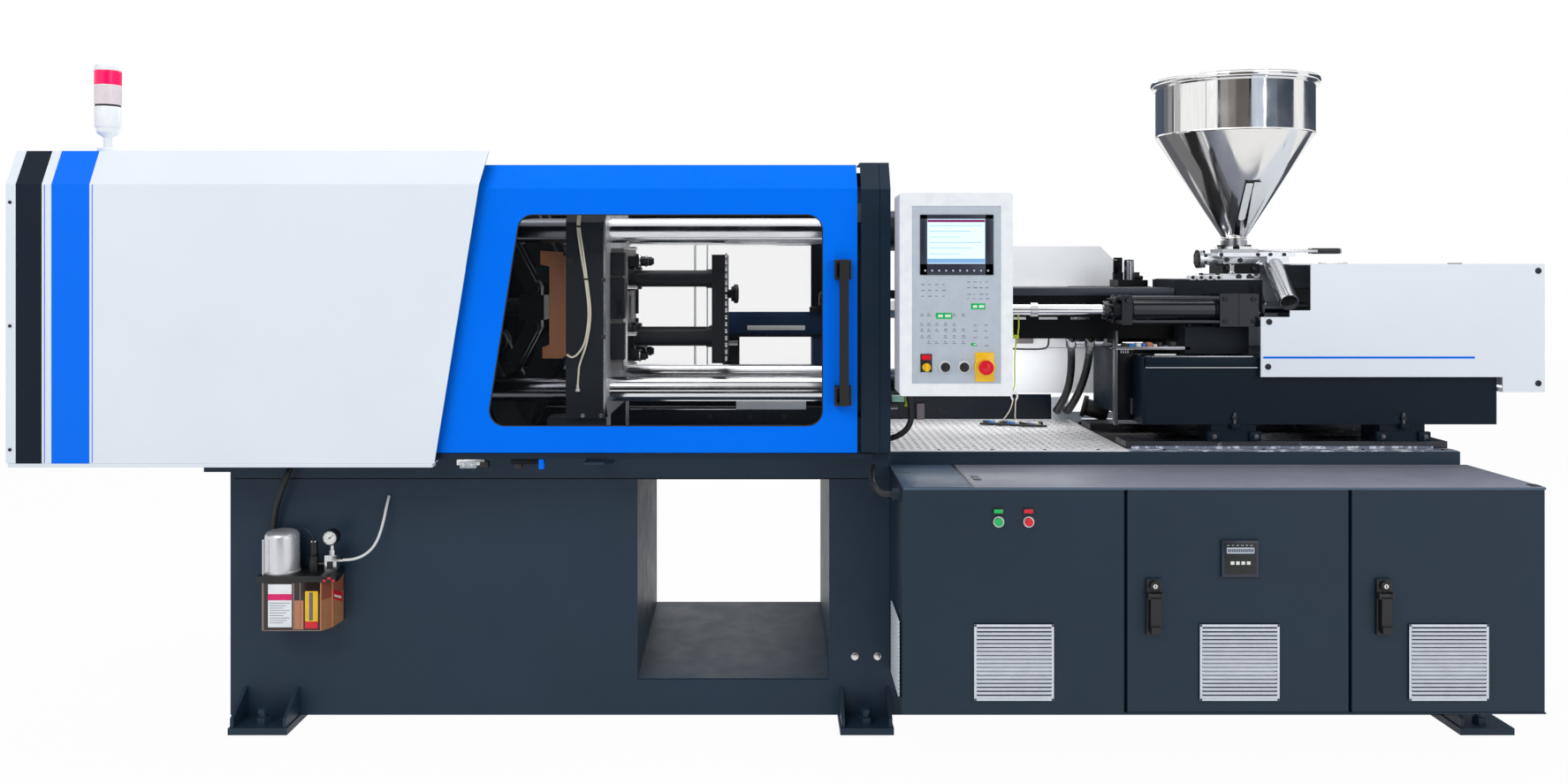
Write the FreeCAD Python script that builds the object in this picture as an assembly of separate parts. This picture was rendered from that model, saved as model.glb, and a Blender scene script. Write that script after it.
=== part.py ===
"""Horizontal toggle-clamp injection moulding machine, in millimetres.

Frame: X along the machine (clamp side negative, injection side positive), Y from the operator's side
(negative) to the rear, Z up. The origin is on the floor, under the middle of the machine.
"""
import FreeCAD, Part
import math
import os

V = FreeCAD.Vector

# ---- driving dimensions ------------------------------------------------------------------------------------
HALF_LENGTH = 2252.0
HALF_DEPTH = 730.0
FLOOR = 0.0

BED_LEFT, BED_RIGHT = -1712.0, 1985.0
BED_HALF_WIDTH = 320.0
BED_BOTTOM, BED_TOP = 20.0, 811.0
BED_WALL = 12.0
COVER_BEAM_LEFT = -2240.0            # end of the two beams that carry the clamp covers
ARM_PLACES = (-1650.0, -1180.0, -620.0)
CHUTE_LEFT, CHUTE_RIGHT = -488.0, 88.0
CHUTE_FLOOR, CHUTE_ROOF = 126.0, 728.0

AXIS_Z = 1235.0                      # centre line of the clamp, the barrel and the screw
TIE_BAR_RADIUS = 37.5
TIE_BAR_OFFSET = 242.5
PLATEN_HALF = 325.0
FIXED_PLATEN = (122.0, 252.0)
MOVING_PLATEN = (-703.0, -584.0)
TAIL_PLATEN = (-1233.0, -1113.0)
PLATEN_STROKE = 310.0
BAR_CLEARANCE = 0.06                 # radial running clearance of a bush on its bar

LINK_LENGTH = 270.0
LINK_FOLD = math.degrees(math.acos(1 - PLATEN_STROKE / (2 * LINK_LENGTH)))
LINK_PIVOT_HEIGHT = 120.0            # of the toggle's fixed pivots above and below the axis
PLATEN_PIVOT_X = -783.0
TAIL_PIVOT_X = PLATEN_PIVOT_X - 2 * LINK_LENGTH * math.cos(math.radians(LINK_FOLD))
PIN_RADIUS = 22.0
PIN_CLEARANCE = 0.06

LOCATING_RADIUS, LOCATING_DEPTH = 62.5, 26.0
MOULD_BOLT_RADIUS, MOULD_BOLT_OFFSET = 8.0, 105.0

CABINET_LEFT, CABINET_RIGHT = 268.0, 2005.0
CABINET_FRONT = -700.0
CABINET_BOTTOM, CABINET_TOP = 160.0, 771.0
CABINET_SPLITS = (870.0, 1476.0)
DOOR_THICKNESS = 20.0
SHEET = 4.0

COVER_FRONT = 540.0                  # distance of the clamp cover's front sheet from the centre plane
COVER_BOTTOM, COVER_FOLD, COVER_TOP = 811.0, 1601.0, 1700.0
COVER_TOP_FRONT = 487.0
COVER_EDGE_BOTTOM_X, COVER_EDGE_TOP_X = -1040.0, -897.0

GATE_FRONT = 510.0
GATE_DEPTH = 40.0
GATE_BOTTOM, GATE_FOLD, GATE_TOP = 837.0, 1591.0, 1662.0
GATE_TOP_FRONT = 460.0
GATE_RIGHT = 159.0
GATE_LEFT_BOTTOM, GATE_LEFT_FOLD = -1085.0, -960.0

HOSE_TOP_Z, HOSE_END_Y, HOSE_END_Z = 1150.0, 429.5, 850.0
LEFT_HOSE_END_X, RIGHT_HOSE_END_X = 945.0, 979.0

HOPPER_X = 1425.0
HOPPER_RIM_Z, HOPPER_SHOULDER_Z, HOPPER_NECK_Z = 1972.0, 1794.0, 1460.0
HOPPER_RADIUS, HOPPER_RIM_RADIUS, HOPPER_NECK_RADIUS = 245.0, 256.0, 35.0
HOPPER_SHEET = 3.0

PARTS = {}


# ---- small helpers -----------------------------------------------------------------------------------------
def box(x0, x1, y0, y1, z0, z1):
    return Part.makeBox(x1 - x0, y1 - y0, z1 - z0, V(x0, y0, z0))


def rod_x(radius, x0, x1, y, z):
    return Part.makeCylinder(radius, x1 - x0, V(x0, y, z), V(1, 0, 0))


def rod_y(radius, x, y0, y1, z):
    return Part.makeCylinder(radius, y1 - y0, V(x, y0, z), V(0, 1, 0))


def rod_z(radius, x, y, z0, z1):
    return Part.makeCylinder(radius, z1 - z0, V(x, y, z0), V(0, 0, 1))


def prism(points, along, low, high):
    """A polygon of two coordinates, pushed along the named axis from low to high."""
    place = {
        "x": lambda a, b: V(low, a, b),
        "y": lambda a, b: V(a, low, b),
        "z": lambda a, b: V(a, b, low),
    }[along]
    corners = [place(a, b) for a, b in points]
    face = Part.Face(Part.makePolygon(corners + corners[:1]))
    push = {"x": V(1, 0, 0), "y": V(0, 1, 0), "z": V(0, 0, 1)}[along]
    return face.extrude(push * (high - low))


def hexagon(across, x, y, z0, z1):
    radius = across / math.sqrt(3)
    angles = [math.radians(60 * k) for k in range(6)]
    points = [(x + radius * math.cos(a), y + radius * math.sin(a)) for a in angles]
    return prism(points, "z", z0, z1)


def join(*shapes):
    first, rest = shapes[0], list(shapes[1:])
    return first.fuse(rest).removeSplitter() if rest else first


def cut(base, *tools):
    return base.cut(list(tools)) if tools else base


def group(*solids):
    return Part.makeCompound(list(solids))


def mirror_y(shape):
    return shape.mirror(V(0, 0, 0), V(0, 1, 0))


def add(node, shape):
    PARTS[node] = shape


# ---- bed, feet, deck ---------------------------------------------------------------------------------------
def make_bed():
    w = BED_HALF_WIDTH
    t = BED_WALL
    frame = box(BED_LEFT, BED_RIGHT, -w, w, BED_BOTTOM, BED_TOP)
    left_room = box(BED_LEFT + t, CHUTE_LEFT - t, -w + t, w - t, BED_BOTTOM + t, BED_TOP - t)
    right_room = box(CHUTE_RIGHT + t, BED_RIGHT - t, -w + t, w - t, BED_BOTTOM + t, BED_TOP - t)
    floor_beam = box(CHUTE_LEFT - t - 1, CHUTE_RIGHT + t + 1, -w + t, w - t, BED_BOTTOM + t, CHUTE_FLOOR - t)
    opening = box(CHUTE_LEFT, CHUTE_RIGHT, -w - 1, w + 1, CHUTE_FLOOR, CHUTE_ROOF)
    drop_hole = box(-440, 60, -225, 225, CHUTE_ROOF - 1, BED_TOP + 1)
    frame = cut(frame, left_room, right_room, floor_beam, opening, drop_hole)
    chute = prism([(-w + 4, CHUTE_FLOOR - 1), (w, CHUTE_FLOOR - 1), (w, CHUTE_FLOOR + 60),
                   (-w + 4, CHUTE_FLOOR + 3)], "x", CHUTE_LEFT - 1, CHUTE_RIGHT + 1)
    brackets = [box(COVER_BEAM_LEFT, BED_LEFT, -w, -280, 781, BED_TOP),
                box(COVER_BEAM_LEFT, BED_LEFT, 280, w, 781, BED_TOP), box(-1792, BED_LEFT, -w, w, 750, 778)]
    for side in (-1, 1):
        for x in ARM_PLACES:
            arm = prism([(side * w, 778), (side * w, BED_TOP), (side * 530, BED_TOP), (side * 530, 806)],
                        "x", x, x + 60)
            brackets.append(arm)
    add("machine_bed", group(join(frame, chute), *brackets))


def make_foot(x0, x1, side):
    """A floor plate under the bed's edge with two gussets and a levelling bolt between them."""
    outer, face = side * 429.0, side * BED_HALF_WIDTH
    low, high = sorted((outer, side * 262.0))
    plate = box(x0, x1, low, high, FLOOR, BED_BOTTOM)
    pieces = [plate]
    for x in (x0 + 4, x1 - 14):
        tip = outer - side * 6
        points = [(tip, BED_BOTTOM - 1), (face, BED_BOTTOM - 1), (face, 108), (tip, 46)]
        if x < BED_RIGHT:
            pieces.append(prism(points, "x", x, x + 10))
    middle = (x0 + x1) / 2
    y = side * 385.0
    pieces.append(rod_z(12, middle, y, 1, 66))
    pieces.append(hexagon(36, middle, y, BED_BOTTOM - 1, 40))
    pieces.append(hexagon(30, middle, y, 52, 64))
    return join(*pieces)


def make_feet():
    spans = [(-1673, -1500), (115, 272), (1925, 2083)]
    feet = [make_foot(x0, x1, side) for x0, x1 in spans for side in (-1, 1)]
    add("mounting_feet", group(*feet))


def make_deck():
    plate = box(268, 990, -318, 450, BED_TOP, BED_TOP + 4)
    upstand = box(268, 930, 446, 450, BED_TOP + 3, 894)
    block = box(930, 990, 440, 450, BED_TOP + 3, 894)
    fittings = [rod_y(14, x, HOSE_END_Y + 0.5, 441, HOSE_END_Z) for x in (LEFT_HOSE_END_X, RIGHT_HOSE_END_X)]
    add("deck_plate", join(plate, upstand, block, *fittings))


def make_carriage_rails():
    rails = []
    for side in (-1, 1):
        low, high = sorted((side * 150, side * 268))
        rails.append(box(995, 1975, low, high, BED_TOP, 835))
    add("carriage_rails", group(*rails))


# ---- platens, bars, toggle ---------------------------------------------------------------------------------
def bar_places():
    return [(y * TIE_BAR_OFFSET, AXIS_Z + z * TIE_BAR_OFFSET) for y in (-1, 1) for z in (-1, 1)]


def platen_plate(x0, x1, bar_hole):
    h = PLATEN_HALF
    plate = box(x0, x1, -h, h, AXIS_Z - h, AXIS_Z + h)
    holes = [rod_x(bar_hole, x0 - 1, x1 + 1, y, z) for y, z in bar_places()]
    corners = []
    for sy in (-1, 1):
        for sz in (-1, 1):
            y, z = sy * h, AXIS_Z + sz * h
            points = [(y + sy, z + sz), (y - sy * 60, z + sz), (y + sy, z - sz * 60)]
            corners.append(prism(points, "x", x0 - 1, x1 + 1))
    return plate.cut(holes + corners)


def platen_leg(x0, x1, side, bottom):
    inner, outer = sorted((side * 200, side * 300))
    return box(x0, x1, inner, outer, bottom, AXIS_Z - PLATEN_HALF + 1)


def make_fixed_platen():
    x0, x1 = FIXED_PLATEN
    plate = platen_plate(x0, x1, TIE_BAR_RADIUS)
    sprue = [rod_x(LOCATING_RADIUS, x0 - 1, x0 + LOCATING_DEPTH, 0, AXIS_Z), rod_x(30, x0, x1, 0, AXIS_Z),
             rod_x(70, x0 + 48, x1 + 1, 0, AXIS_Z)]
    offset = MOULD_BOLT_OFFSET
    bolt_holes = [rod_x(MOULD_BOLT_RADIUS, x0 - 1, x0 + 40, y * offset, AXIS_Z + z * offset)
                  for y in (-1, 1) for z in (-1, 1)]
    plate = plate.cut(sprue + bolt_holes)
    feet = [platen_leg(x0, x1, side, BED_TOP) for side in (-1, 1)]
    add("fixed_platen", join(plate, *feet))


def ear(x_pivot, z_pivot, x_root, y0, y1, eye, bore):
    """A lug from a platen's face to a pivot, with its bore."""
    lug = join(box(min(x_pivot, x_root), max(x_pivot, x_root), y0, y1, z_pivot - eye, z_pivot + eye),
               rod_y(eye, x_pivot, y0, y1, z_pivot))
    return lug.cut(rod_y(bore, x_pivot, y0 - 1, y1 + 1, z_pivot)) if bore else lug


def both_sides(y0, y1):
    return [(y0, y1), (-y1, -y0)]


def make_tail_platen():
    x0, x1 = TAIL_PLATEN
    plate = platen_plate(x0, x1, TIE_BAR_RADIUS)
    plate = plate.cut(rod_x(60, x0 - 1, x1 + 1, 0, AXIS_Z))
    pieces = [plate]
    for sz in (-1, 1):
        z = AXIS_Z + sz * LINK_PIVOT_HEIGHT
        for y0, y1 in both_sides(163, 185) + both_sides(96, 121):
            pieces.append(ear(TAIL_PIVOT_X, z, x1 - 1, y0, y1, 42, 0))
        pieces.append(rod_y(PIN_RADIUS, TAIL_PIVOT_X, 95, 186, z))
        pieces.append(rod_y(PIN_RADIUS, TAIL_PIVOT_X, -186, -95, z))
    pieces += [platen_leg(x0, x1, side, BED_TOP) for side in (-1, 1)]
    add("tail_platen", join(*pieces))


def make_moving_platen():
    x0, x1 = MOVING_PLATEN
    plate = platen_plate(x0, x1, TIE_BAR_RADIUS + BAR_CLEARANCE)
    plate = plate.cut(rod_x(40, x0 - 1, x1 + 1, 0, AXIS_Z))
    pieces = [plate]
    for sz in (-1, 1):
        z = AXIS_Z + sz * LINK_PIVOT_HEIGHT
        for y0, y1 in both_sides(124, 158) + both_sides(34, 66):
            pieces.append(ear(PLATEN_PIVOT_X, z, x0 + 1, y0, y1, 42, 0))
        pieces.append(rod_y(PIN_RADIUS, PLATEN_PIVOT_X, 33, 159, z))
        pieces.append(rod_y(PIN_RADIUS, PLATEN_PIVOT_X, -159, -33, z))
    pieces += [platen_leg(x0 - 60, x1, side, BED_TOP + 0.3) for side in (-1, 1)]
    add("moving_platen", join(*pieces))


def make_tie_bars():
    bars = []
    for y, z in bar_places():
        bar = rod_x(TIE_BAR_RADIUS, -1345, 320, y, z)
        nut_right = rod_x(62, FIXED_PLATEN[1], 300, y, z)
        nut_left = rod_x(62, -1300, TAIL_PLATEN[0], y, z)
        collar = rod_x(50, TAIL_PLATEN[1], TAIL_PLATEN[1] + 22, y, z)
        bars.append(join(bar, nut_right, nut_left, collar))
    add("tie_bars", group(*bars))


def fold_point(sz):
    """Knee of the upper or lower toggle at rest, folded outward."""
    reach = LINK_LENGTH * math.cos(math.radians(LINK_FOLD))
    rise = LINK_LENGTH * math.sin(math.radians(LINK_FOLD))
    return TAIL_PIVOT_X + reach, AXIS_Z + sz * (LINK_PIVOT_HEIGHT + rise)


def bar_between(a, b, half, y0, y1):
    """A flat link with round ends from a to b, both given as (x, z)."""
    dx, dz = b[0] - a[0], b[1] - a[1]
    length = math.hypot(dx, dz)
    nx, nz = -dz / length * half, dx / length * half
    points = [(a[0] + nx, a[1] + nz), (b[0] + nx, b[1] + nz), (b[0] - nx, b[1] - nz), (a[0] - nx, a[1] - nz)]
    return join(prism(points, "y", y0, y1), rod_y(half, a[0], y0, y1, a[1]), rod_y(half, b[0], y0, y1, b[1]))


def point_along(a, b, distance):
    share = distance / math.hypot(b[0] - a[0], b[1] - a[1])
    return a[0] + (b[0] - a[0]) * share, a[1] + (b[1] - a[1]) * share


def make_rear_link(name, sz):
    pivot = (TAIL_PIVOT_X, AXIS_Z + sz * LINK_PIVOT_HEIGHT)
    knee = fold_point(sz)
    cheeks = [bar_between(pivot, knee, 38, y0, y1) for y0, y1 in both_sides(124, 160)]
    near = point_along(pivot, knee, TIE_ROD_PLACE)
    far = point_along(pivot, knee, LUG_ROOT_PLACE)
    tie = rod_y(12, near[0], -125, 125, near[1])
    stubs = [rod_y(16, far[0], y0, y1, far[1]) for y0, y1 in both_sides(52, 125)]
    lugs = [bar_between(far, lug_point(sz), 18, y0, y1) for y0, y1 in both_sides(52, 66)]
    link = join(*cheeks, tie, *stubs, *lugs)
    bores = [rod_y(PIN_RADIUS + PIN_CLEARANCE, pivot[0], -170, 170, pivot[1])]
    add(name, link.cut(bores))


def make_front_link(name, sz):
    pivot = (PLATEN_PIVOT_X, AXIS_Z + sz * LINK_PIVOT_HEIGHT)
    knee = fold_point(sz)
    arms = [bar_between(pivot, knee, 38, y0, y1) for y0, y1 in both_sides(69, 121)]
    near = 0.6
    web = (pivot[0] * near + knee[0] * (1 - near), pivot[1] * near + knee[1] * (1 - near))
    link = join(*arms, rod_y(20, web[0], -70, 70, web[1]))
    add(name, link.cut(rod_y(PIN_RADIUS + PIN_CLEARANCE, pivot[0], -130, 130, pivot[1])))


TIE_ROD_PLACE, LUG_ROOT_PLACE = 150.0, 105.0     # along the rear link, from its pivot
CROSSHEAD_PIVOT_X = -859.0
CROSSHEAD_PIVOT_HEIGHT = 62.0
CROSSHEAD_HALF = 40.0
CROSSHEAD_LINK = 150.0
CROSSHEAD_LINK_REST = 118.0          # degrees above the X axis, at rest


def lug_point(sz):
    """Where the crosshead link meets the rear link at rest."""
    angle = math.radians(CROSSHEAD_LINK_REST)
    return (CROSSHEAD_PIVOT_X + CROSSHEAD_LINK * math.cos(angle),
            AXIS_Z + sz * (CROSSHEAD_PIVOT_HEIGHT + CROSSHEAD_LINK * math.sin(angle)))


def make_crosshead():
    x0, x1 = CROSSHEAD_PIVOT_X - CROSSHEAD_HALF, CROSSHEAD_PIVOT_X + CROSSHEAD_HALF
    body = box(x0, x1, -48, 48, AXIS_Z - 40, AXIS_Z + 40)
    piston_rod = rod_x(30, -1560, x0 + 1, 0, AXIS_Z)
    pieces = [body, piston_rod, rod_x(67, -1590, -1559, 0, AXIS_Z)]
    for sz in (-1, 1):
        z = AXIS_Z + sz * CROSSHEAD_PIVOT_HEIGHT
        low, high = sorted((AXIS_Z + sz * 30, z))
        pieces.append(box(CROSSHEAD_PIVOT_X - 26, CROSSHEAD_PIVOT_X + 26, -22, 22, low, high))
        pieces.append(rod_y(26, CROSSHEAD_PIVOT_X, -22, 22, z))
        pieces.append(rod_y(14, CROSSHEAD_PIVOT_X, -50, 50, z))
    add("crosshead", join(*pieces))


def make_crosshead_link(name, sz):
    a = (CROSSHEAD_PIVOT_X, AXIS_Z + sz * CROSSHEAD_PIVOT_HEIGHT)
    b = lug_point(sz)
    plates = [bar_between(a, b, 22, y0, y1) for y0, y1 in both_sides(24, 50)]
    spacer = rod_y(11, b[0], -25, 25, b[1])
    add(name, join(*plates, spacer).cut(rod_y(14 + PIN_CLEARANCE, a[0], -60, 60, a[1])))


def make_clamp_cylinder():
    x0 = TAIL_PLATEN[0]
    flange = box(x0 - 40, x0, -110, 110, AXIS_Z - 110, AXIS_Z + 110)
    barrel = rod_x(85, -1760, x0 - 39, 0, AXIS_Z)
    cap = box(-1800, -1755, -98, 98, AXIS_Z - 98, AXIS_Z + 98)
    ties = [rod_x(11, -1815, x0 - 20, y * 80, AXIS_Z + z * 80) for y in (-1, 1) for z in (-1, 1)]
    body = join(flange, barrel, cap, *ties)
    bore = rod_x(68, -1700, x0 - 30, 0, AXIS_Z)
    rod_hole = rod_x(30 + PIN_CLEARANCE, x0 - 31, x0 + 1, 0, AXIS_Z)
    add("clamp_cylinder", body.cut([bore, rod_hole]))


def make_ejector():
    """Plate behind the moving platen with a rod through the platen's centre hole."""
    plate = box(-800, -770, -30, 30, AXIS_Z - 60, AXIS_Z + 60)
    add("ejector_plate", join(plate, rod_x(18, -771, -592, 0, AXIS_Z)))


def make_mould_fixture():
    """Test fixture on the moving platen: base plate with clamps, four pillars, end plate and a knob."""
    face = MOVING_PLATEN[1]
    base = box(face, -547, -190, 190, AXIS_Z - 190, AXIS_Z + 190)
    base = base.cut(rod_x(40, face - 1, -546, 0, AXIS_Z))
    end_plate = box(-272, -230, -170, 170, AXIS_Z - 170, AXIS_Z + 170)
    knob = join(rod_x(14, -230, -214, -60, 1280), rod_x(24, -214, -194, -60, 1280))
    pieces = [base, join(end_plate, knob)]
    for sy in (-1, 1):
        for sz in (-1, 1):
            y, z = sy * 100, AXIS_Z + sz * 94
            pieces.append(join(rod_x(38, -547, -519, y, z), rod_x(26, -520, -272, y, z)))
            clamp = box(-547, -505, y - 22, y + 22, z + sz * 56 - 16, z + sz * 56 + 16)
            pieces.append(join(clamp, rod_x(11, -506, -478, y, z + sz * 56)))
    add("mould_fixture", group(*pieces))


# ---- covers and gates --------------------------------------------------------------------------------------
def folded(outline_yz, thickness, x0, x1):
    """A sheet folded along X: its outer line in (y, z) is offset inward by the thickness."""
    inner = []
    count = len(outline_yz)
    for index in range(count):
        here = outline_yz[index]
        before = outline_yz[max(index - 1, 0)]
        after = outline_yz[min(index + 1, count - 1)]
        n1 = unit_normal(before, here) if index else unit_normal(here, after)
        n2 = unit_normal(here, after) if index < count - 1 else n1
        mean = (n1[0] + n2[0], n1[1] + n2[1])
        size = math.hypot(*mean)
        mean = (mean[0] / size, mean[1] / size)
        scale = thickness / (mean[0] * n1[0] + mean[1] * n1[1])
        inner.append((here[0] + mean[0] * scale, here[1] + mean[1] * scale))
    return prism(outline_yz + inner[::-1], "x", x0, x1)


def unit_normal(a, b):
    """Normal to the right of the way from a to b."""
    dy, dz = b[0] - a[0], b[1] - a[1]
    length = math.hypot(dy, dz)
    return dz / length, -dy / length


def make_clamp_covers():
    """The two halves of the folded white cover; their roofs meet over the centre line, with slanting ends."""
    t = SHEET
    outline = [(-COVER_FRONT + 38, COVER_BOTTOM), (-COVER_FRONT, COVER_BOTTOM), (-COVER_FRONT, COVER_FOLD),
               (-COVER_TOP_FRONT, COVER_TOP), (-1, COVER_TOP)]
    sheet = folded(outline, t, -HALF_LENGTH, -850)
    slope = (COVER_EDGE_TOP_X - COVER_EDGE_BOTTOM_X) / (COVER_TOP - COVER_BOTTOM)
    past_bottom = COVER_EDGE_BOTTOM_X - slope * 20
    past_top = COVER_EDGE_TOP_X + slope * 20
    slant = prism([(past_bottom, COVER_BOTTOM - 20), (-800, COVER_BOTTOM - 20), (-800, COVER_TOP + 20),
                   (past_top, COVER_TOP + 20)], "y", -COVER_FRONT - 5, 5)
    corner_plan = [(COVER_EDGE_TOP_X, -COVER_TOP_FRONT), (-800, -COVER_TOP_FRONT), (-800, 5), (-1025, 5)]
    roof_corner = prism(corner_plan, "z", COVER_TOP - 10, COVER_TOP + 10)
    end_outline = [(-COVER_FRONT, COVER_BOTTOM), (-1, COVER_BOTTOM), (-1, COVER_TOP),
                   (-COVER_TOP_FRONT, COVER_TOP), (-COVER_FRONT, COVER_FOLD)]
    end_wall = prism(end_outline, "x", -HALF_LENGTH, -HALF_LENGTH + t)
    stiffener = box(-2000, -1992, -60, -1, COVER_TOP - 40, COVER_TOP - t + 1)
    front_half = join(sheet.cut([slant, roof_corner]), end_wall, stiffener)
    add("clamp_covers", group(front_half, mirror_y(front_half)))


def gate_window_hole(y0, y1):
    """Window opening with a slanted left edge and rounded corners."""
    right, low, high = 61.0, 912.0, 1517.0
    slope = 76.0 / 486.0
    left_low = -892 - (962 - low) * slope
    left_high = -816 + (high - 1448) * slope
    hole = prism([(left_low, low), (right, low), (right, high), (left_high, high)], "y", y0, y1)
    upright = [e for e in hole.Edges if abs(e.Vertexes[0].Y - e.Vertexes[-1].Y) > 1]
    return hole.makeFillet(45, upright)


def make_gate(frame_name, window_name, side):
    y_front = -GATE_FRONT
    t = 3.0
    slope = (GATE_LEFT_FOLD - GATE_LEFT_BOTTOM) / (GATE_FOLD - GATE_BOTTOM)
    left_top = GATE_LEFT_BOTTOM + slope * (GATE_TOP - GATE_BOTTOM)
    pan_outline = [(y_front + GATE_DEPTH, GATE_BOTTOM), (y_front, GATE_BOTTOM), (y_front, GATE_FOLD),
                   (-GATE_TOP_FRONT, GATE_TOP), (-GATE_TOP_FRONT + 14, GATE_TOP)]
    pan = folded(pan_outline, t, GATE_LEFT_BOTTOM - 40, GATE_RIGHT)
    low, high = GATE_BOTTOM - 10, GATE_TOP + 10
    slant = prism([(GATE_LEFT_BOTTOM - slope * 10, low), (GATE_LEFT_BOTTOM - 80, low),
                   (GATE_LEFT_BOTTOM - 80, high), (left_top + slope * 10, high)],
                  "y", y_front - 5, -GATE_TOP_FRONT + 60)
    pan = pan.cut(slant)
    edge = box(GATE_RIGHT - t, GATE_RIGHT, y_front, y_front + GATE_DEPTH, GATE_BOTTOM, GATE_FOLD)
    hole = gate_window_hole(y_front - 5, y_front + 60)
    frame = join(pan, edge).cut(hole)
    pane = prism([(-935, 885), (88, 885), (88, 1545), (-822, 1545)], "y", y_front + t, y_front + t + 5)
    if side < 0:
        add(frame_name, frame)
        add(window_name, pane)
    else:
        add(frame_name, mirror_y(frame))
        add(window_name, mirror_y(pane))


def make_gate_handle():
    y = -GATE_FRONT
    bar = box(106, 132, y - 50, y - 28, 976, 1385)
    feet = []
    for z0, z1 in ((976, 1030), (1331, 1385)):
        cup = box(93, 140, y - 34, y, z0, z1)
        feet.append(cup.cut(box(99, 106, y - 35, y - 8, z0 + 8, z1 - 8)))
    add("front_gate_handle", join(bar, *feet))


def guard_half():
    """A dark post beside the fixed platen, and the two rails of the gate on their arms, as members."""
    t = 4.0
    post_outline = [(-GATE_TOP_FRONT + 60, 839), (-520, 839), (-520, 1588), (-GATE_TOP_FRONT - 6, 1668),
                    (-335, 1668)]
    wide = folded(post_outline, t, 169, 222)
    narrow = folded(post_outline, t, 223.5, 253)
    web = box(196, 250, -516, -500, 870, 1560)
    foot = box(196, 250, -500, -PLATEN_HALF, 975, 1015)
    stay = box(196, 250, -500, -PLATEN_HALF, 1440, 1495)
    post_base = box(205, 250, -500, -440, 818, 840)
    upper_drop = box(196, 250, -440, -424, 1555, 1665)
    shelf = box(196, 250, -503, -424, 1555, 1600)
    post = join(wide, narrow, web, foot, stay, post_base, upper_drop, shelf)
    lower_rail = box(-1700, 205, -505, -480, 818, 834)
    upper_rail = box(-1690, 196, -440, -424, 1600, 1640)
    end_post = box(-1690, -1660, -440, -424, 818, 1600)
    arms = [box(x, x + 50, -501, -304, BED_TOP, 818) for x in (-1640, -1170, -610, 205)]
    end_foot = box(-1690, -1660, -501, -424, BED_TOP, 818)
    return post, [lower_rail, upper_rail, end_post, end_foot, *arms]


PANEL_PIVOT = (300.0, -474.0)


def make_guard_frame():
    front_post, front_members = guard_half()
    rear_post, rear_members = guard_half()
    x, y = PANEL_PIVOT
    bracket = [box(210, 250, -501, y + 16, 1276, 1300), box(249, x, y - 16, y + 16, 1276, 1300),
               rod_z(22, x, y, 1276, 1300), rod_z(12, x, y, 1240, 1336)]
    rear = [mirror_y(member) for member in [rear_post, *rear_members]]
    add("guard_frame", group(join(front_post, *bracket), *front_members, *rear))


# ---- injection side ----------------------------------------------------------------------------------------
CARRIAGE_Y = 280.0


def make_carriage_base():
    body = box(1049, 2118, -CARRIAGE_Y, CARRIAGE_Y, 888, 1091)
    shoes = []
    for x0, x1 in ((1253, 1388), (1765, 1902)):
        for side in (-1, 1):
            low, high = sorted((side * 155, side * 275))
            shoes.append(box(x0, x1, low, high, 835.3, 888))
    add("carriage_base", group(body, *shoes))


def make_carriage_cover():
    t = SHEET
    y = 300.0
    x0, x1 = 1394.0, HALF_LENGTH
    shell = box(x0, x1, -y, y, 1034, 1376)
    tail = box(2125, x1, -y, y, 988, 1040)
    room = box(x0 - 1, x1 - t, -y + t, y - t, 1000, 1376 - t)
    tail_room = box(2125 + t, x1 - t, -y + t, y - t, 980, 1010)
    base_room = box(x0 - 1, 2122, -CARRIAGE_Y - 1, CARRIAGE_Y + 1, 1030, 1092)
    notch = box(x0 - 1, 1482, -y - 1, y + 1, 1215, 1377)
    upper_notch = box(1480, 1545, -y - 1, y + 1, 1235, 1377)
    spout_gap = box(1544, 1578, -y + t, 30, 1370, 1377)
    cover = join(shell, tail).cut([room, tail_room, base_room, notch, upper_notch, spout_gap])
    flanges = [box(1400, 2110, min(s * 281, s * 297), max(s * 281, s * 297), 1040, 1052) for s in (-1, 1)]
    add("carriage_cover", join(cover, *flanges))


def make_feed_housing():
    body = box(1193, 1430, -110, 110, 1130, 1325)
    cheek = box(1193, 1390, -215, 215, 1098, 1180)
    foot = box(1200, 1380, -180, 180, 1091, 1099)
    top = box(1330, 1480, -95, 95, 1180, 1325)
    barrel_bore = rod_x(65, 1190, 1512, 0, AXIS_Z)
    housing = join(body, cheek, foot, top)
    throat = rod_z(30, HOPPER_X, 0, AXIS_Z, 1330)
    add("feed_housing", housing.cut([barrel_bore, throat]))


GUARD_LEFT = 425.0
BARREL_TIP = 268.0
SCREW_RADIUS = 19.0


def make_barrel():
    tube = rod_x(48, 420, 1500, 0, AXIS_Z)
    head = rod_x(55, 360, 421, 0, AXIS_Z)
    nozzle = Part.makeCone(12, 30, 92, V(BARREL_TIP, 0, AXIS_Z), V(1, 0, 0))
    bands = [rod_x(56, x, x + 120, 0, AXIS_Z) for x in (450, 600, 750, 900, 1040)]
    bore = rod_x(SCREW_RADIUS + 0.08, 400, 1501, 0, AXIS_Z)
    orifice = rod_x(4, BARREL_TIP - 1, 401, 0, AXIS_Z)
    feed_hole = rod_z(28, HOPPER_X, 0, AXIS_Z, 1300)
    flange = rod_x(65, 1188, 1230, 0, AXIS_Z)
    collar = rod_x(64.9, 1230, 1500, 0, AXIS_Z)
    barrel = join(tube, head, nozzle, *bands, flange.common(rod_x(64.9, 1188, 1231, 0, AXIS_Z)), collar)
    add("barrel", barrel.cut([bore, orifice, feed_hole]))


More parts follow.
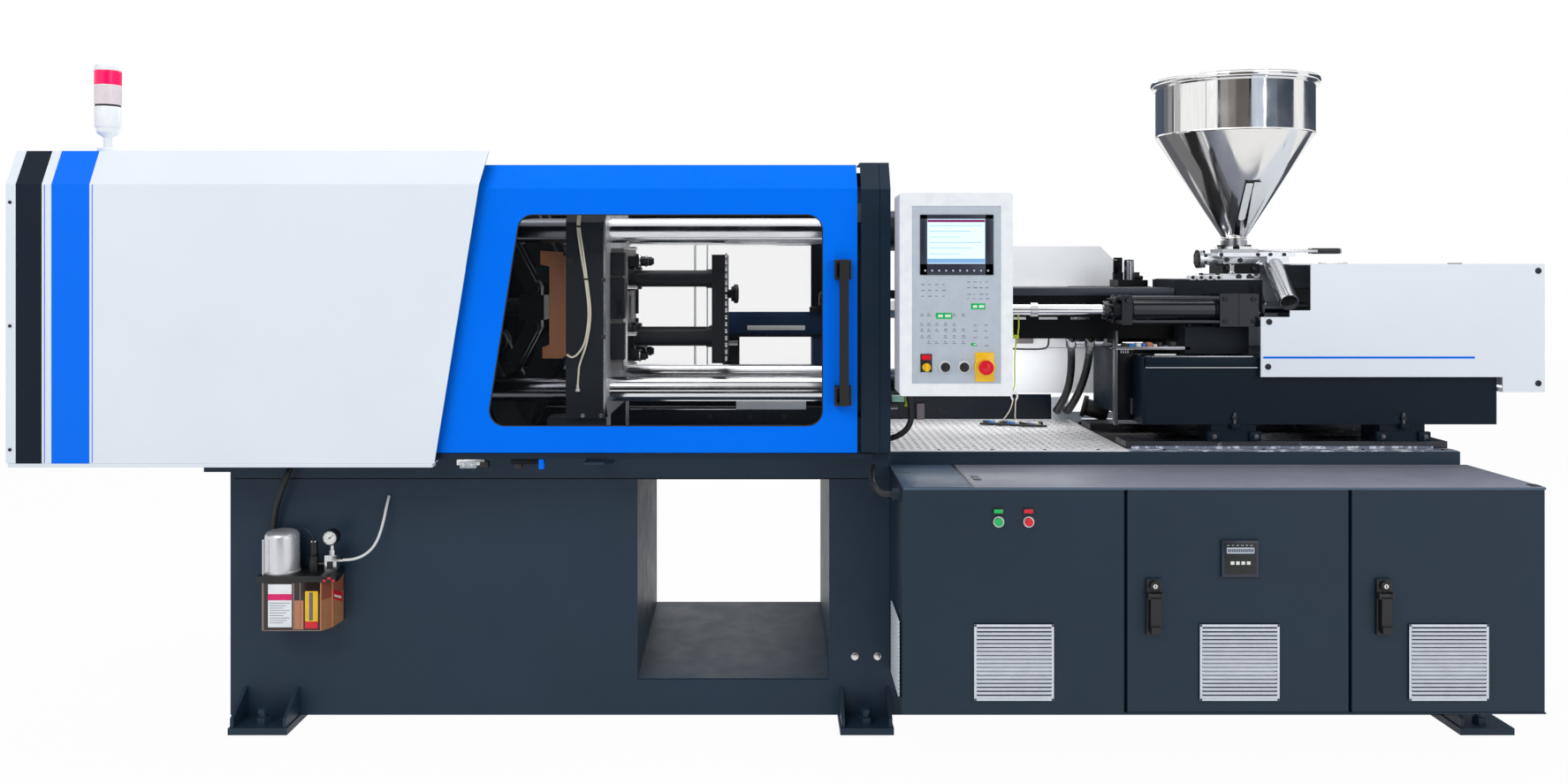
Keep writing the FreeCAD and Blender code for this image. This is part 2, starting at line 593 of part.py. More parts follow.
def make_screw():
    """Screw core with flights as rings; the fine helix is drawn on top of it."""
    core = rod_x(13, 470, 1400, 0, AXIS_Z)
    tip = Part.makeCone(3, 13, 30, V(441, 0, AXIS_Z), V(1, 0, 0))
    shank = rod_x(SCREW_RADIUS, 1399, 1679, 0, AXIS_Z)
    rings = [rod_x(SCREW_RADIUS, x, x + 6, 0, AXIS_Z) for x in range(500, 1390, 38)]
    add("screw", join(core, tip, shank, *rings))


def make_barrel_guards():
    x0, x1 = GUARD_LEFT, 1187
    black = box(x0, x1, -130, 130, 1140, 1300)
    black = black.cut(box(x0 - 1, x1 + 1, -122, 122, 1130, 1292))
    slots = [box(x, x + 60, -131, -121, z, z + 8) for x in range(460, 1120, 100) for z in (1200, 1220, 1240)]
    black = black.cut(slots)
    feet = [box(1187, 1193, min(s * 100, s * 128), max(s * 100, s * 128), 1182, 1290) for s in (-1, 1)]
    feet += [box(1180, 1193, min(s * 112, s * 123), max(s * 112, s * 123), 1182, 1290) for s in (-1, 1)]
    points = [(x0, 921), (1123, 921), (1123, 1392), (1076, 1439), (x0, 1439)]
    white = join(prism(points, "y", 330, 334), box(1100, 1123, 216, 331, 1100, 1180),
                 box(1100, 1193, 180, 217, 1110, 1170))
    add("barrel_guards", group(join(black, *feet), white))


def make_carriage_cylinders():
    units = []
    for side in (-1, 1):
        y = side * 230.0
        low, high = y - 45, y + 45
        head = box(981, 1013, low, high, AXIS_Z - 45, AXIS_Z + 45)
        tube = rod_x(32.5, 1012, 1281, y, AXIS_Z)
        end = box(1280, 1398, side * 230 - 44, side * 230 + 44, AXIS_Z - 50, AXIS_Z + 50)
        gland = rod_x(26, 933, 982, y, AXIS_Z)
        ties = [rod_x(6, 1000, 1290, y + a * 36, AXIS_Z + b * 36) for a in (-1, 1) for b in (-1, 1)]
        unit = join(head, tube, end, gland, *ties)
        bore = rod_x(26, 1000, 1270, y, AXIS_Z)
        rod_bore = rod_x(16.5 + PIN_CLEARANCE, 930, 1001, y, AXIS_Z)
        unit = unit.cut([bore, rod_bore])
        inner, outer = sorted((side * 110, side * 187))
        bracket = box(1282, 1386, inner, outer, AXIS_Z - 45, AXIS_Z + 45)
        units.append(join(unit, bracket))
    add("carriage_cylinders", group(*units))


def make_carriage_rods():
    rods = []
    for side in (-1, 1):
        y = side * 230.0
        rod = rod_x(16.5, FIXED_PLATEN[1] + 20, 1040, y, AXIS_Z)
        foot = box(FIXED_PLATEN[1], FIXED_PLATEN[1] + 24, y - 34, y + 34, AXIS_Z - 34, AXIS_Z + 34)
        piston = rod_x(25.5, 1040, 1062, y, AXIS_Z)
        rods.append(join(rod, foot, piston))
    add("carriage_rods", group(*rods))


RAM_X = (1650.0, 1700.0)


def make_injection_drive():
    """Two injection cylinders beside the screw, on a stand."""
    pieces = []
    for side in (-1, 1):
        y = side * 150.0
        tube = rod_x(50, 1830, 2090, y, AXIS_Z)
        tube = tube.cut(rod_x(40, 1860, 2075, y, AXIS_Z))
        tube = tube.cut(rod_x(18.06, 1829, 1861, y, AXIS_Z))
        pieces.append(tube)
    stand = box(1836, 2092, -205, 205, 1091, 1200)
    saddles = [rod_x(49, 1800, 2100, side * 150, AXIS_Z) for side in (-1, 1)]
    stand = stand.cut(saddles + [rod_x(70, 1800, 2100, 0, AXIS_Z)])
    yoke = box(2080, 2100, -205, 205, 1180, 1300)
    add("injection_drive", join(*pieces, stand, yoke))


def make_injection_ram():
    x0, x1 = RAM_X
    plate = box(x0, x1, -200, 200, AXIS_Z - 60, AXIS_Z + 60)
    plate = plate.cut(rod_x(SCREW_RADIUS + 0.08, x0 - 1, x0 + 31, 0, AXIS_Z))
    rods = [rod_x(18, x1 - 1, 1880, s * 150, AXIS_Z) for s in (-1, 1)]
    pistons = [rod_x(39, 1879, 1900, s * 150, AXIS_Z) for s in (-1, 1)]
    motor = rod_x(60, x1 - 1, 1850, 0, AXIS_Z)
    add("injection_ram", join(plate, *rods, *pistons, motor))


DRAIN_X = 1540.0
SLIDE_TOP, SLIDE_SHOE_TOP = 1412.0, 1424.0
SPOUT_WAY = V(-0.111, -0.836, -0.534)


def make_hopper_base():
    """Slide base of the hopper: casting on the feed housing, slide plate, discharge tube at its right."""
    casting = box(1368, 1482, -62, 62, 1343, 1401)
    foot = box(1350, 1478, -75, 75, 1325, 1344)
    plate = box(1350, 1600, -60, 60, 1400, SLIDE_TOP)
    left_flange = join(rod_x(30, 1306, 1318, 0, 1392), rod_x(20, 1317, 1370, 0, 1392))
    block = box(1505, 1575, -70, 45, 1380, 1401)
    spout = Part.makeCylinder(28, 290, V(DRAIN_X, 10, SLIDE_TOP), SPOUT_WAY)
    spout = spout.cut(box(1400, 1700, -200, 200, 1401, 1500))
    bore_start = V(DRAIN_X, 10, SLIDE_TOP) - SPOUT_WAY * 60
    spout_room = Part.makeCylinder(25, 400, bore_start, SPOUT_WAY)
    base = join(casting, foot, plate, left_flange, block, spout)
    throat = rod_z(30, HOPPER_X, 0, 1324, SLIDE_TOP + 1)
    add("hopper_base", base.cut([throat, spout_room]))


def make_hopper_slide():
    """Shoe under the hopper's flange, with the bar and the grip that push it over the discharge tube."""
    shoe = box(1368, 1482, -56, 56, SLIDE_TOP + 0.3, SLIDE_SHOE_TOP)
    shoe = shoe.cut(rod_z(32, HOPPER_X, 0, SLIDE_TOP - 1, SLIDE_SHOE_TOP + 1))
    bar = box(1482, 1684, -32, -12, 1414, 1422)
    grip = rod_x(9, 1660, 1763, -22, 1418)
    add("hopper_slide", group(shoe, join(bar, grip)))


def ring_about_hopper(profile):
    """A profile of (radius, z) turned about the hopper's axis."""
    corners = [V(radius, 0, z) for radius, z in profile]
    face = Part.Face(Part.makePolygon(corners + corners[:1]))
    ring = face.revolve(V(0, 0, 0), V(0, 0, 1), 360)
    ring.translate(V(HOPPER_X, 0, 0))
    return ring


def make_hopper():
    """Open bin with a rolled rim, cone, and neck with its flange: three rings that stand on each other."""
    t = HOPPER_SHEET
    r, rim, neck = HOPPER_RADIUS, HOPPER_RIM_RADIUS, HOPPER_NECK_RADIUS
    bin_wall = ring_about_hopper([(r - t, HOPPER_SHOULDER_Z), (r, HOPPER_SHOULDER_Z), (r, HOPPER_RIM_Z - 26),
                                  (rim, HOPPER_RIM_Z - 22), (rim, HOPPER_RIM_Z), (r - t, HOPPER_RIM_Z)])
    cone = ring_about_hopper([(neck - t, HOPPER_NECK_Z), (neck, HOPPER_NECK_Z), (r, HOPPER_SHOULDER_Z),
                              (r - t, HOPPER_SHOULDER_Z)])
    flange_top = SLIDE_SHOE_TOP + 8
    neck_and_flange = ring_about_hopper([(neck - t, SLIDE_SHOE_TOP), (60, SLIDE_SHOE_TOP),
                                         (60, flange_top), (neck, flange_top), (neck, HOPPER_NECK_Z),
                                         (neck - t, HOPPER_NECK_Z)])
    add("hopper", group(bin_wall, cone, neck_and_flange))


def make_valve_block():
    """Valve block over the barrel guard, with a silver cylinder and a black knob, and the hoses' manifold."""
    block = box(1085, 1185, 134, 240, 1300, 1322)
    manifold = box(925, 1090, 134, 180, HOSE_TOP_Z, 1301)
    cylinder = rod_z(16, 1139, 195, 1321, 1390)
    knob = rod_z(15, 1101, 195, 1321, 1398)
    foot = box(1180, 1193, 134, 176, 1182, 1301)
    link = box(1088, 1193, 134, 176, 1250, 1301)
    add("valve_block", join(block, manifold, cylinder, knob, foot, link))


# ---- cabinet -----------------------------------------------------------------------------------------------
GRILLE_Z = (198.0, 404.0)


def grille(x0, x1, y_face, pieces=19):
    """A louvred grille: a thin frame with a stack of slats that stand out from the sheet behind it."""
    z0, z1 = GRILLE_Z
    frame = box(x0, x1, y_face - 6, y_face + 1, z0, z1)
    pitch = (z1 - z0 - 12) / pieces
    gaps = [box(x0 + 8, x1 - 8, y_face - 7, y_face - 2, z0 + 6 + k * pitch, z0 + 6 + k * pitch + pitch * 0.45)
            for k in range(pieces)]
    return frame.cut(gaps)


def bezel(x, z, radius, bore):
    ring = rod_y(radius, x, CABINET_FRONT - 6, CABINET_FRONT + 1, z)
    return ring, rod_y(bore, x, CABINET_FRONT - 8, CABINET_FRONT + 40, z)


START_X, STOP_X, BUTTON_Z = 526.0, 607.0, 680.0
BUTTON_RADIUS = 11.0


def make_cabinet():
    x0, x1 = CABINET_LEFT, CABINET_RIGHT
    z0, z1 = CABINET_BOTTOM, CABINET_TOP
    back = -BED_HALF_WIDTH
    split = CABINET_SPLITS[0]
    outer = box(x0, x1, CABINET_FRONT, back, z0, z1)
    room = box(x0 + SHEET, x1 - SHEET, CABINET_FRONT + SHEET, back - SHEET, z0 + SHEET, z1 - SHEET)
    mouth = box(split - 5, x1 + 1, CABINET_FRONT - 1, CABINET_FRONT + 24, z0 + SHEET, z1 - SHEET)
    shell = outer.cut([room, mouth])
    jambs = [box(CABINET_LEFT + 1, CABINET_LEFT + 20, CABINET_FRONT + 24, CABINET_FRONT + 60, z0 + 1, z1 - 1)]
    for x in (split - 17, CABINET_SPLITS[1] - 22):
        jambs.append(box(x, x + 44, CABINET_FRONT + 24, CABINET_FRONT + 60, z0 + 1, z1 - 1))
    jambs.append(box(x1 - 30, x1 - 1, CABINET_FRONT + 24, CABINET_FRONT + 60, z0 + 1, z1 - 1))
    jambs.append(box(split - 9, split - 5, CABINET_FRONT + 1, CABINET_FRONT + 30, z0 + 1, z1 - 1))
    top_gap = box(454, 462, CABINET_FRONT - 1, back + 1, z1 - 1.5, z1 + 1)
    start_ring, start_bore = bezel(START_X, BUTTON_Z, 15, BUTTON_RADIUS + 0.06)
    stop_ring, stop_bore = bezel(STOP_X, BUTTON_Z, 15, BUTTON_RADIUS + 0.06)
    plates = [box(x - 15, x + 15, CABINET_FRONT - 2, CABINET_FRONT + 1, 700, 716) for x in (START_X, STOP_X)]
    left_grille = grille(460, 675, CABINET_FRONT)
    side_grille = grille(-675, -460, 0)
    side_grille.rotate(V(0, 0, 0), V(0, 0, 1), -90)
    side_grille.translate(V(CABINET_LEFT, -1135, 0))
    drives = box(960, 1900, back - 44, back - SHEET + 1, 260, 700)
    drive_units = [box(x, x + 150, back - 160, back - 43, 330, 640) for x in (1000, 1200, 1620)]
    hinge_pins = []
    for hinge_x in (CABINET_SPLITS[1] - 13, x1 - 12):
        for low, high in ((z0 + 1, z0 + 18), (z1 - 18, z1 - 1)):
            hinge_pins.append(rod_z(4, hinge_x, CABINET_FRONT + 8, low, high))
    body = join(shell, *jambs, start_ring, stop_ring, *plates, left_grille, side_grille, drives, *drive_units,
                *hinge_pins)
    conduit_entry = rod_x(17, CABINET_LEFT - 22, CABINET_LEFT + 1, -640, 742)
    add("cabinet_body", join(body.cut([start_bore, stop_bore, top_gap]), conduit_entry))


def swing_handle_base(x):
    """Dish of a swing handle with its key cylinder and the two ears of the lever's pin."""
    y = CABINET_FRONT
    dish = box(x - 20, x + 20, y - 10, y + 1, 377, 527)
    dish = dish.cut(box(x - 14, x + 14, y - 11, y - 4, 383, 470))
    key = rod_y(11, x, y - 20, y - 9, 510)
    ears = [box(x - 20, x - 14.5, y - 24, y - 9, 476, 492), box(x + 14.5, x + 20, y - 24, y - 9, 476, 492)]
    pin = rod_x(2.5, x - 19, x + 19, y - 17, 484)
    return join(dish, key, *ears, pin)


def make_swing_handle(name, x):
    y = CABINET_FRONT
    lever = box(x - 13, x + 13, y - 24, y - 12, 384, 478)
    eye = rod_x(7, x - 14, x + 14, y - 17, 484)
    nose = box(x - 13, x + 13, y - 30, y - 12, 384, 402)
    handle = join(lever, eye, nose)
    add(name, handle.cut(rod_x(2.56, x - 20, x + 20, y - 17, 484)))


def make_door(name, x0, x1, handle_x, grille_x, meter):
    z0, z1 = CABINET_BOTTOM + 6, CABINET_TOP - 6
    y = CABINET_FRONT
    pan = box(x0, x1, y, y + DOOR_THICKNESS, z0, z1)
    pan = pan.cut(box(x0 + 24, x1 - 24, y + 4, y + DOOR_THICKNESS + 1, z0 + 24, z1 - 24))
    grille_solid = grille(grille_x, grille_x + 215, y)
    pieces = [pan, grille_solid, swing_handle_base(handle_x)]
    if meter:
        pieces.append(box(1126, 1226, y - 8, y + 4.5, 532, 631))
    door = join(*pieces)
    pin_holes = [rod_z(4.06, x1 - 8, y + 8, z0 - 1, z0 + 13), rod_z(4.06, x1 - 8, y + 8, z1 - 13, z1 + 1)]
    add(name, door.cut(pin_holes))


def make_button(name, x, z, y_face, radius, head_radius, head, depth=30.0):
    """A push button: a shank in its bore and a head in front."""
    shank = rod_y(radius, x, y_face - head, y_face + depth, z)
    pieces = [shank]
    if head_radius > radius:
        pieces.append(rod_y(head_radius, x, y_face - head, y_face - head + 12, z))
    add(name, join(*pieces))


def make_cabinet_buttons():
    for name, x in (("start_button", START_X), ("stop_button", STOP_X)):
        make_button(name, x, BUTTON_Z, CABINET_FRONT, BUTTON_RADIUS, 0, 13)


# ---- control panel -----------------------------------------------------------------------------------------
PANEL = (266.0, 577.0, -640.0, -504.0, 1012.0, 1571.0)
PANEL_ROW_Z = 1092.0
PANEL_CONTROLS = {
    "selector_knob": (339.0, 11.0),
    "panel_button_left": (391.0, 11.0),
    "panel_button_right": (443.0, 11.0),
    "emergency_stop": (500.0, 14.0),
}


def make_control_panel():
    x0, x1, y0, y1, z0, z1 = PANEL
    case = box(x0, x1, y0, y1, z0, z1)
    corner_edges = [e for e in case.Edges if abs(e.Vertexes[0].Y - e.Vertexes[-1].Y) > 1]
    case = case.makeFillet(10, corner_edges)
    room = box(x0 + 4, x1 - 4, y0 + 12, y1 - 4, z0 + 4, z1 - 4)
    keypad = box(300, 545, y0 - 1, y0 + 3, 1046, 1535)
    case = case.cut([room, keypad])
    frame = box(322, 524, y0 + 1, y0 + 4, 1345, 1511).cut(box(342, 501, y0, y0 + 6, 1376, 1499))
    stop_plate = box(474, 526, y0 + 1, y0 + 4, 1062, 1132)
    bores = [rod_y(radius + 0.06, x, y0 - 8, y0 + 20, PANEL_ROW_Z) for x, radius in PANEL_CONTROLS.values()]
    px, py = PANEL_PIVOT
    lugs = [box(px - 26, px + 26, y1 - 1, py + 20, zl, zh) for zl, zh in ((1244, 1275), (1301, 1332))]
    pin_hole = rod_z(12.06, px, py, 1230, 1345)
    add("control_panel", join(case, frame, stop_plate, *lugs).cut(bores + [pin_hole]))


def make_panel_controls():
    y0 = PANEL[2] + 3
    for name, (x, radius) in PANEL_CONTROLS.items():
        if name == "emergency_stop":
            make_button(name, x, PANEL_ROW_Z, y0, radius, 20, 30, 24)
        elif name == "selector_knob":
            shank = rod_y(radius, x, y0 - 14, y0 + 24, PANEL_ROW_Z)
            grip = box(x - 4, x + 4, y0 - 24, y0 - 13, PANEL_ROW_Z - 11, PANEL_ROW_Z + 11)
            add(name, join(shank, grip))
        else:
            make_button(name, x, PANEL_ROW_Z, y0, radius, 0, 10, 24)


# ---- lubricator, signal light, hydraulics ------------------------------------------------------------------
LUBE_Y = -BED_HALF_WIDTH


def make_lubricator():
    """Central lubricator on the bed's front: clear reservoir, black head plate, motor can, block, gauge."""
    y1 = LUBE_Y
    tank = prism([(-1570, y1 - 118), (-1397, y1 - 118), (-1377, y1 - 80), (-1370, y1 - 6), (-1570, y1 - 6)],
                 "z", 307, 450)
    head = prism([(-1584, y1 - 124), (-1352, y1 - 124), (-1352, y1 - 95), (-1368, y1), (-1584, y1)],
                 "z", 450, 468)
    can = rod_z(49.5, -1532, y1 - 62, 467, 590)
    plug = join(rod_z(15, -1438, y1 - 60, 467, 515), rod_z(11, -1438, y1 - 60, 514, 557))
    guide_rod = rod_z(2.5, -1568, y1 - 112, 467, 572)
    block = box(-1402, -1366, y1 - 78, y1 - 44, 467, 518)
    stem = rod_z(6, -1384, y1 - 61, 517, 556)
    gauge = rod_y(25, -1384, y1 - 86, y1 - 52, 570)
    add("lubricator", group(tank, join(head, can, plug, guide_rod, block, stem, gauge)))


def make_signal_light():
    x, y = -2016.0, -440.0
    base = box(x - 22, x + 22, y - 22, y + 22, COVER_TOP, COVER_TOP + 12)
    pole = rod_z(10, x, y, COVER_TOP + 11, 1750)
    cone = Part.makeCone(16, 36, 30, V(x, y, 1745), V(0, 0, 1))
    body = rod_z(36, x, y, 1775, 1832)
    lens = rod_z(37.5, x, y, 1832, 1950)
    cap = rod_z(30, x, y, 1949, 1956)
    add("signal_light", join(base, pole, cone, body, lens, cap))


def make_hydraulic_unit():
    """Closed oil tank behind the bed, full, with filler and level gauge; motor and pump on a shelf."""
    tank = box(268, 1500, BED_HALF_WIDTH, 700, 160, BED_TOP)
    filler = rod_z(45, 1380, 600, BED_TOP, 850)
    level = box(700, 730, 700, HALF_DEPTH, 300, 520)
    cooler_feet = [box(x, x + 40, 700, HALF_DEPTH, 640, 680) for x in (340, 1400)]
    motor = rod_x(95, 1561, 1860, 500, 425)
    pump = box(1500, 1561, 430, 570, 350, 490)
    stand = box(1560, 1860, 405, 595, 290, 330)
    shelf = box(1500, 1880, BED_HALF_WIDTH, 620, 270, 290)
    add("hydraulic_unit", group(tank, filler, level, *cooler_feet, motor, pump, stand, shelf))


# ---- cords -------------------------------------------------------------------------------------------------
LUBE_TUBE_ROUTE = [(-1366, -381, 500), (-1340, -381, 500), (-1314, -380, 504), (-1290, -377, 514),
                   (-1270, -372, 531), (-1256, -367, 554), (-1247, -362, 581), (-1241, -356, 609),
                   (-1237, -349, 636), (-1235, -338, 660), (-1234, -324, 679)]
HOSE_ROUTE_YZ = [(158, HOSE_TOP_Z), (158, 1102), (164, 1056), (178, 1010), (200, 966), (229, 928), (265, 897),
                 (306, 873), (349, 857), (390, HOSE_END_Z), (HOSE_END_Y, HOSE_END_Z)]
LEFT_HOSE_X = [945, 945, 947, 949, 950, 950, 949, 947, 946, LEFT_HOSE_END_X, LEFT_HOSE_END_X]
RIGHT_HOSE_X = [1010, 1010, 1007, 1003, 998, 993, 988, 984, 981, RIGHT_HOSE_END_X, RIGHT_HOSE_END_X]
LUBE_CABLE_ROUTE = [(-1574, -338, 468.3), (-1574.5, -338, 507), (-1574, -338.5, 553), (-1573, -340, 600),
                    (-1564, -349, 645), (-1550, -357, 685), (-1536, -361, 719), (-1527, -360, 746),
                    (-1521, -354, 765), (-1518.5, -338.5, 775), (-1518, -321, 776)]
PANEL_CABLE_ROUTE = [(300, -474, 1239.5), (301, -473.5, 1165), (304, -471, 1085), (308, -467, 1013),
                     (317, -462, 965), (320, -458, 928), (309, -454, 898), (285, -450, 878), (257, -441, 867),
                     (236, -425, 863), (220, -396, 861), (216.5, -348, 862), (216, -300.5, 864)]
CONDUIT_ROUTE = [(246, -640, 742), (226, -640, 742), (209, -632, 748), (198, -614, 758), (194, -590, 768),
                 (196, -564, 777), (200, -538, 786), (205, -514, 797)]


def hose_route(xs):
    return [(x, y, z) for x, (y, z) in zip(xs, HOSE_ROUTE_YZ)]


def tangent_path(points):
    """Straight runs joined by tangent arcs, each arc as large as its two runs allow."""
    nodes = [V(*p) for p in points]
    edges = []
    radii = []
    start = nodes[0]
    for before, here, after in zip(nodes, nodes[1:], nodes[2:]):
        way_in = (here - before).normalize()
        way_out = (after - here).normalize()
        turn = way_in.getAngle(way_out)
        reach = 0.45 * min(here.distanceToPoint(before), here.distanceToPoint(after))
        radius = reach / math.tan(turn / 2)
        radii.append(radius)
        arc_start = here - way_in * reach
        arc_end = here + way_out * reach
        inward = (way_out - way_in).normalize()
        centre = here + inward * (radius / math.cos(turn / 2))
        middle = centre - inward * radius
        edges.append(Part.LineSegment(start, arc_start).toShape())
        edges.append(Part.Arc(arc_start, middle, arc_end).toShape())
        start = arc_end
    edges.append(Part.LineSegment(start, nodes[-1]).toShape())
    return Part.Wire(edges), radii


def tube_along(name, points, radius):
    path, radii = tangent_path(points)
    way = V(*points[1]) - V(*points[0])
    ring = Part.Wire([Part.Circle(V(*points[0]), way, radius).toShape()])
    tube = path.makePipeShell([ring], True, True)
    expected = math.pi * radius ** 2 * path.Length
    print(name, "length", round(path.Length), "volume ratio", round(tube.Volume / expected, 4),
          "least radius", round(min(radii)))
    add(name, tube)


def make_cords():
    tube_along("lubricator_tube", LUBE_TUBE_ROUTE, 4.0)
    tube_along("carriage_hose_left", hose_route(LEFT_HOSE_X), 13.0)
    tube_along("carriage_hose_right", hose_route(RIGHT_HOSE_X), 13.0)
    tube_along("cabinet_conduit", CONDUIT_ROUTE, 9.0)
    tube_along("lubricator_cable", LUBE_CABLE_ROUTE, 8.5)
    tube_along("panel_cable", PANEL_CABLE_ROUTE, 8.5)


# ---- the whole machine -------------------------------------------------------------------------------------
def make_machine():
    make_bed()
    make_feet()
    make_deck()
    make_carriage_rails()
    make_fixed_platen()
    make_tail_platen()
    make_moving_platen()
    make_tie_bars()
    make_rear_link("rear_toggle_link_upper", 1)
    make_rear_link("rear_toggle_link_lower", -1)
    make_front_link("front_toggle_link_upper", 1)
    make_front_link("front_toggle_link_lower", -1)
    make_crosshead()
    make_crosshead_link("crosshead_link_upper", 1)
    make_crosshead_link("crosshead_link_lower", -1)
    make_clamp_cylinder()
    make_ejector()
    make_mould_fixture()
    make_clamp_covers()
    make_gate("front_gate", "front_gate_window", -1)
    make_gate("rear_gate", "rear_gate_window", 1)
    make_gate_handle()
    make_guard_frame()
    make_carriage_base()
    make_carriage_cover()
    make_feed_housing()
    make_barrel()
    make_screw()
    make_barrel_guards()
    make_carriage_cylinders()
    make_carriage_rods()
    make_injection_drive()
    make_injection_ram()
    make_hopper_base()
    make_hopper_slide()
    make_hopper()
    make_valve_block()
    make_cabinet()
    make_door("door_middle", CABINET_SPLITS[0] + 5, CABINET_SPLITS[1] - 5, 943.5, 1068, True)
    make_door("door_right", CABINET_SPLITS[1] + 5, CABINET_RIGHT - 4, 1563, 1632, False)
    make_swing_handle("swing_handle_middle", 943.5)
    make_swing_handle("swing_handle_right", 1563)
    make_cabinet_buttons()
    make_control_panel()
    make_panel_controls()
    make_lubricator()
    make_signal_light()
    make_hydraulic_unit()
    make_cords()


def export_parts():
    os.makedirs("parts", exist_ok=True)
    for node, shape in PARTS.items():
        shape.exportStep("parts/" + node + ".step")


make_machine()
export_parts()
print(len(PARTS), "nodes")
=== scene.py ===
"""Looks of the injection moulding machine, in metres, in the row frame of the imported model."""
import math
import random
import bpy
import bmesh
from mathutils import Matrix, Vector


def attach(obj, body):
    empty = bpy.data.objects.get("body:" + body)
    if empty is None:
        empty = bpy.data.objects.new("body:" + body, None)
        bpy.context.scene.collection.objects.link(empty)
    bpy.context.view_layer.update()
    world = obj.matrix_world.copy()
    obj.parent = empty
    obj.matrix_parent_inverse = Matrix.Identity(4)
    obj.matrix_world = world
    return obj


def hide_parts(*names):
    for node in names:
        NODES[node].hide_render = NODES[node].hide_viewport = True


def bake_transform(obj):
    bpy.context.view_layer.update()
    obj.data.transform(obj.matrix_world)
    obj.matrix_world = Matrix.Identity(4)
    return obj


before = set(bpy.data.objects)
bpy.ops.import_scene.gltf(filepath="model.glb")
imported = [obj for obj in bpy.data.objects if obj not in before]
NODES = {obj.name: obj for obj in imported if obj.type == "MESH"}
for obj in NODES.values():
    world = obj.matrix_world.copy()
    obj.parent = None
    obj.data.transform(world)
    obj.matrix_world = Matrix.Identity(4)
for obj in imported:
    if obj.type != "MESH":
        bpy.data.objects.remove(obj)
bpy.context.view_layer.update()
AXIS_Z = 1.235
CYLINDER_Y = 0.23
UP, DOWN = (0, 0, 1), (0, 0, -1)
FRONT = (0, -1, 0)
LEFT, RIGHT = (-1, 0, 0), (1, 0, 0)


# ---- shader nodes ------------------------------------------------------------------------------------------
def srgb(red, green, blue):
    """Linear colour of a 0-255 screen colour."""
    def channel(value):
        value = value / 255
        return value / 12.92 if value <= 0.04045 else ((value + 0.055) / 1.055) ** 2.4
    return channel(red), channel(green), channel(blue), 1.0


M = {}
MIX_FACTOR, MIX_FIRST, MIX_SECOND, MIX_COLOUR = 0, 6, 7, 2


def new_material(name):
    """A material, kept in M by its name, and its node tree."""
    M[name] = bpy.data.materials.new(name)
    M[name].use_nodes = True
    return M[name], M[name].node_tree


def node(tree, kind, inputs, output=0, **settings):
    """One output of a new shader node. The inputs are values, or outputs to link."""
    made = tree.nodes.new("ShaderNode" + kind)
    for key, value in settings.items():
        setattr(made, key, value)
    feed(tree, made, inputs)
    return made.outputs[output]


def feed(tree, receiver, inputs):
    """Sets a node's inputs, or links them where the value is another node's output."""
    for key, value in inputs.items():
        if isinstance(value, bpy.types.NodeSocket):
            tree.links.new(value, receiver.inputs[key])
        else:
            receiver.inputs[key].default_value = value


def dress(material, inputs):
    """Sets or links inputs of the material's surface."""
    feed(material.node_tree, material.node_tree.nodes["Principled BSDF"], inputs)
    return material


def base_colour(material):
    """The output that feeds a material's base colour."""
    return material.node_tree.nodes["Principled BSDF"].inputs["Base Color"].links[0].from_socket


def coordinates(tree, kind="Object"):
    return node(tree, "TexCoord", {}, kind)


def noise(tree, scale, stretch=(1, 1, 1), detail=3.0, roughness=0.55):
    place = node(tree, "Mapping", {"Vector": coordinates(tree), "Scale": stretch})
    return node(tree, "TexNoise", {"Vector": place, "Scale": scale, "Detail": detail, "Roughness": roughness})


def remap(tree, value, low, high, from_low=0.3, from_high=0.7):
    """Stretches a value from one range to another."""
    return node(tree, "MapRange", {"Value": value, "From Min": from_low, "From Max": from_high,
                                   "To Min": low, "To Max": high})


def mix_colours(tree, factor, first, second):
    return node(tree, "Mix", {MIX_FACTOR: factor, MIX_FIRST: first, MIX_SECOND: second}, MIX_COLOUR,
                data_type="RGBA")


def maths(tree, operation, *values):
    return node(tree, "Math", dict(enumerate(values)), operation=operation)


def bump(tree, height, strength, distance):
    return node(tree, "Bump", {"Height": height, "Strength": strength, "Distance": distance})


def cloudy(tree, value, colour, darkest, brightest):
    """The colour, from its darkest to its brightest share as the noise value rises."""
    def shade(factor):
        return tuple(min(1.0, c * factor) for c in colour[:3]) + (1.0,)
    return mix_colours(tree, remap(tree, value, 0.0, 1.0), shade(darkest), shade(brightest))


# ---- materials ---------------------------------------------------------------------------------------------
def painted(name, colour, rough, tone, gloss, grain=900.0, grain_depth=0.00012):
    """Sprayed paint: faint cloudy tone, fine orange peel and uneven gloss."""
    material, tree = new_material(name)
    return dress(material, {
        "Base Color": cloudy(tree, noise(tree, 2.3, detail=5.0), colour, 1 - tone, 1 + tone),
        "Roughness": remap(tree, noise(tree, 14.0), rough - 0.05, rough + 0.07),
        "Normal": bump(tree, noise(tree, grain, detail=2.0), 0.25, grain_depth),
        "Specular IOR Level": gloss})


def cast(name, colour, rough):
    """Painted casting: coarse skin."""
    return painted(name, colour, rough, 0.12, 0.15, grain=160.0, grain_depth=0.0012)


def metal(name, colour, rough, stretch=(1, 1, 1), grain=400.0, depth=0.00004, spread=0.08, metallic=1.0):
    """Machined or polished metal: fine lines along the short direction of the stretch."""
    material, tree = new_material(name)
    lines = noise(tree, grain, stretch, detail=4.0)
    return dress(material, {
        "Base Color": cloudy(tree, lines, colour, 0.93, 1.05),
        "Roughness": remap(tree, noise(tree, 9.0, detail=4.0), max(0.03, rough - spread), rough + spread),
        "Normal": bump(tree, lines, 0.3, depth),
        "Metallic": metallic})


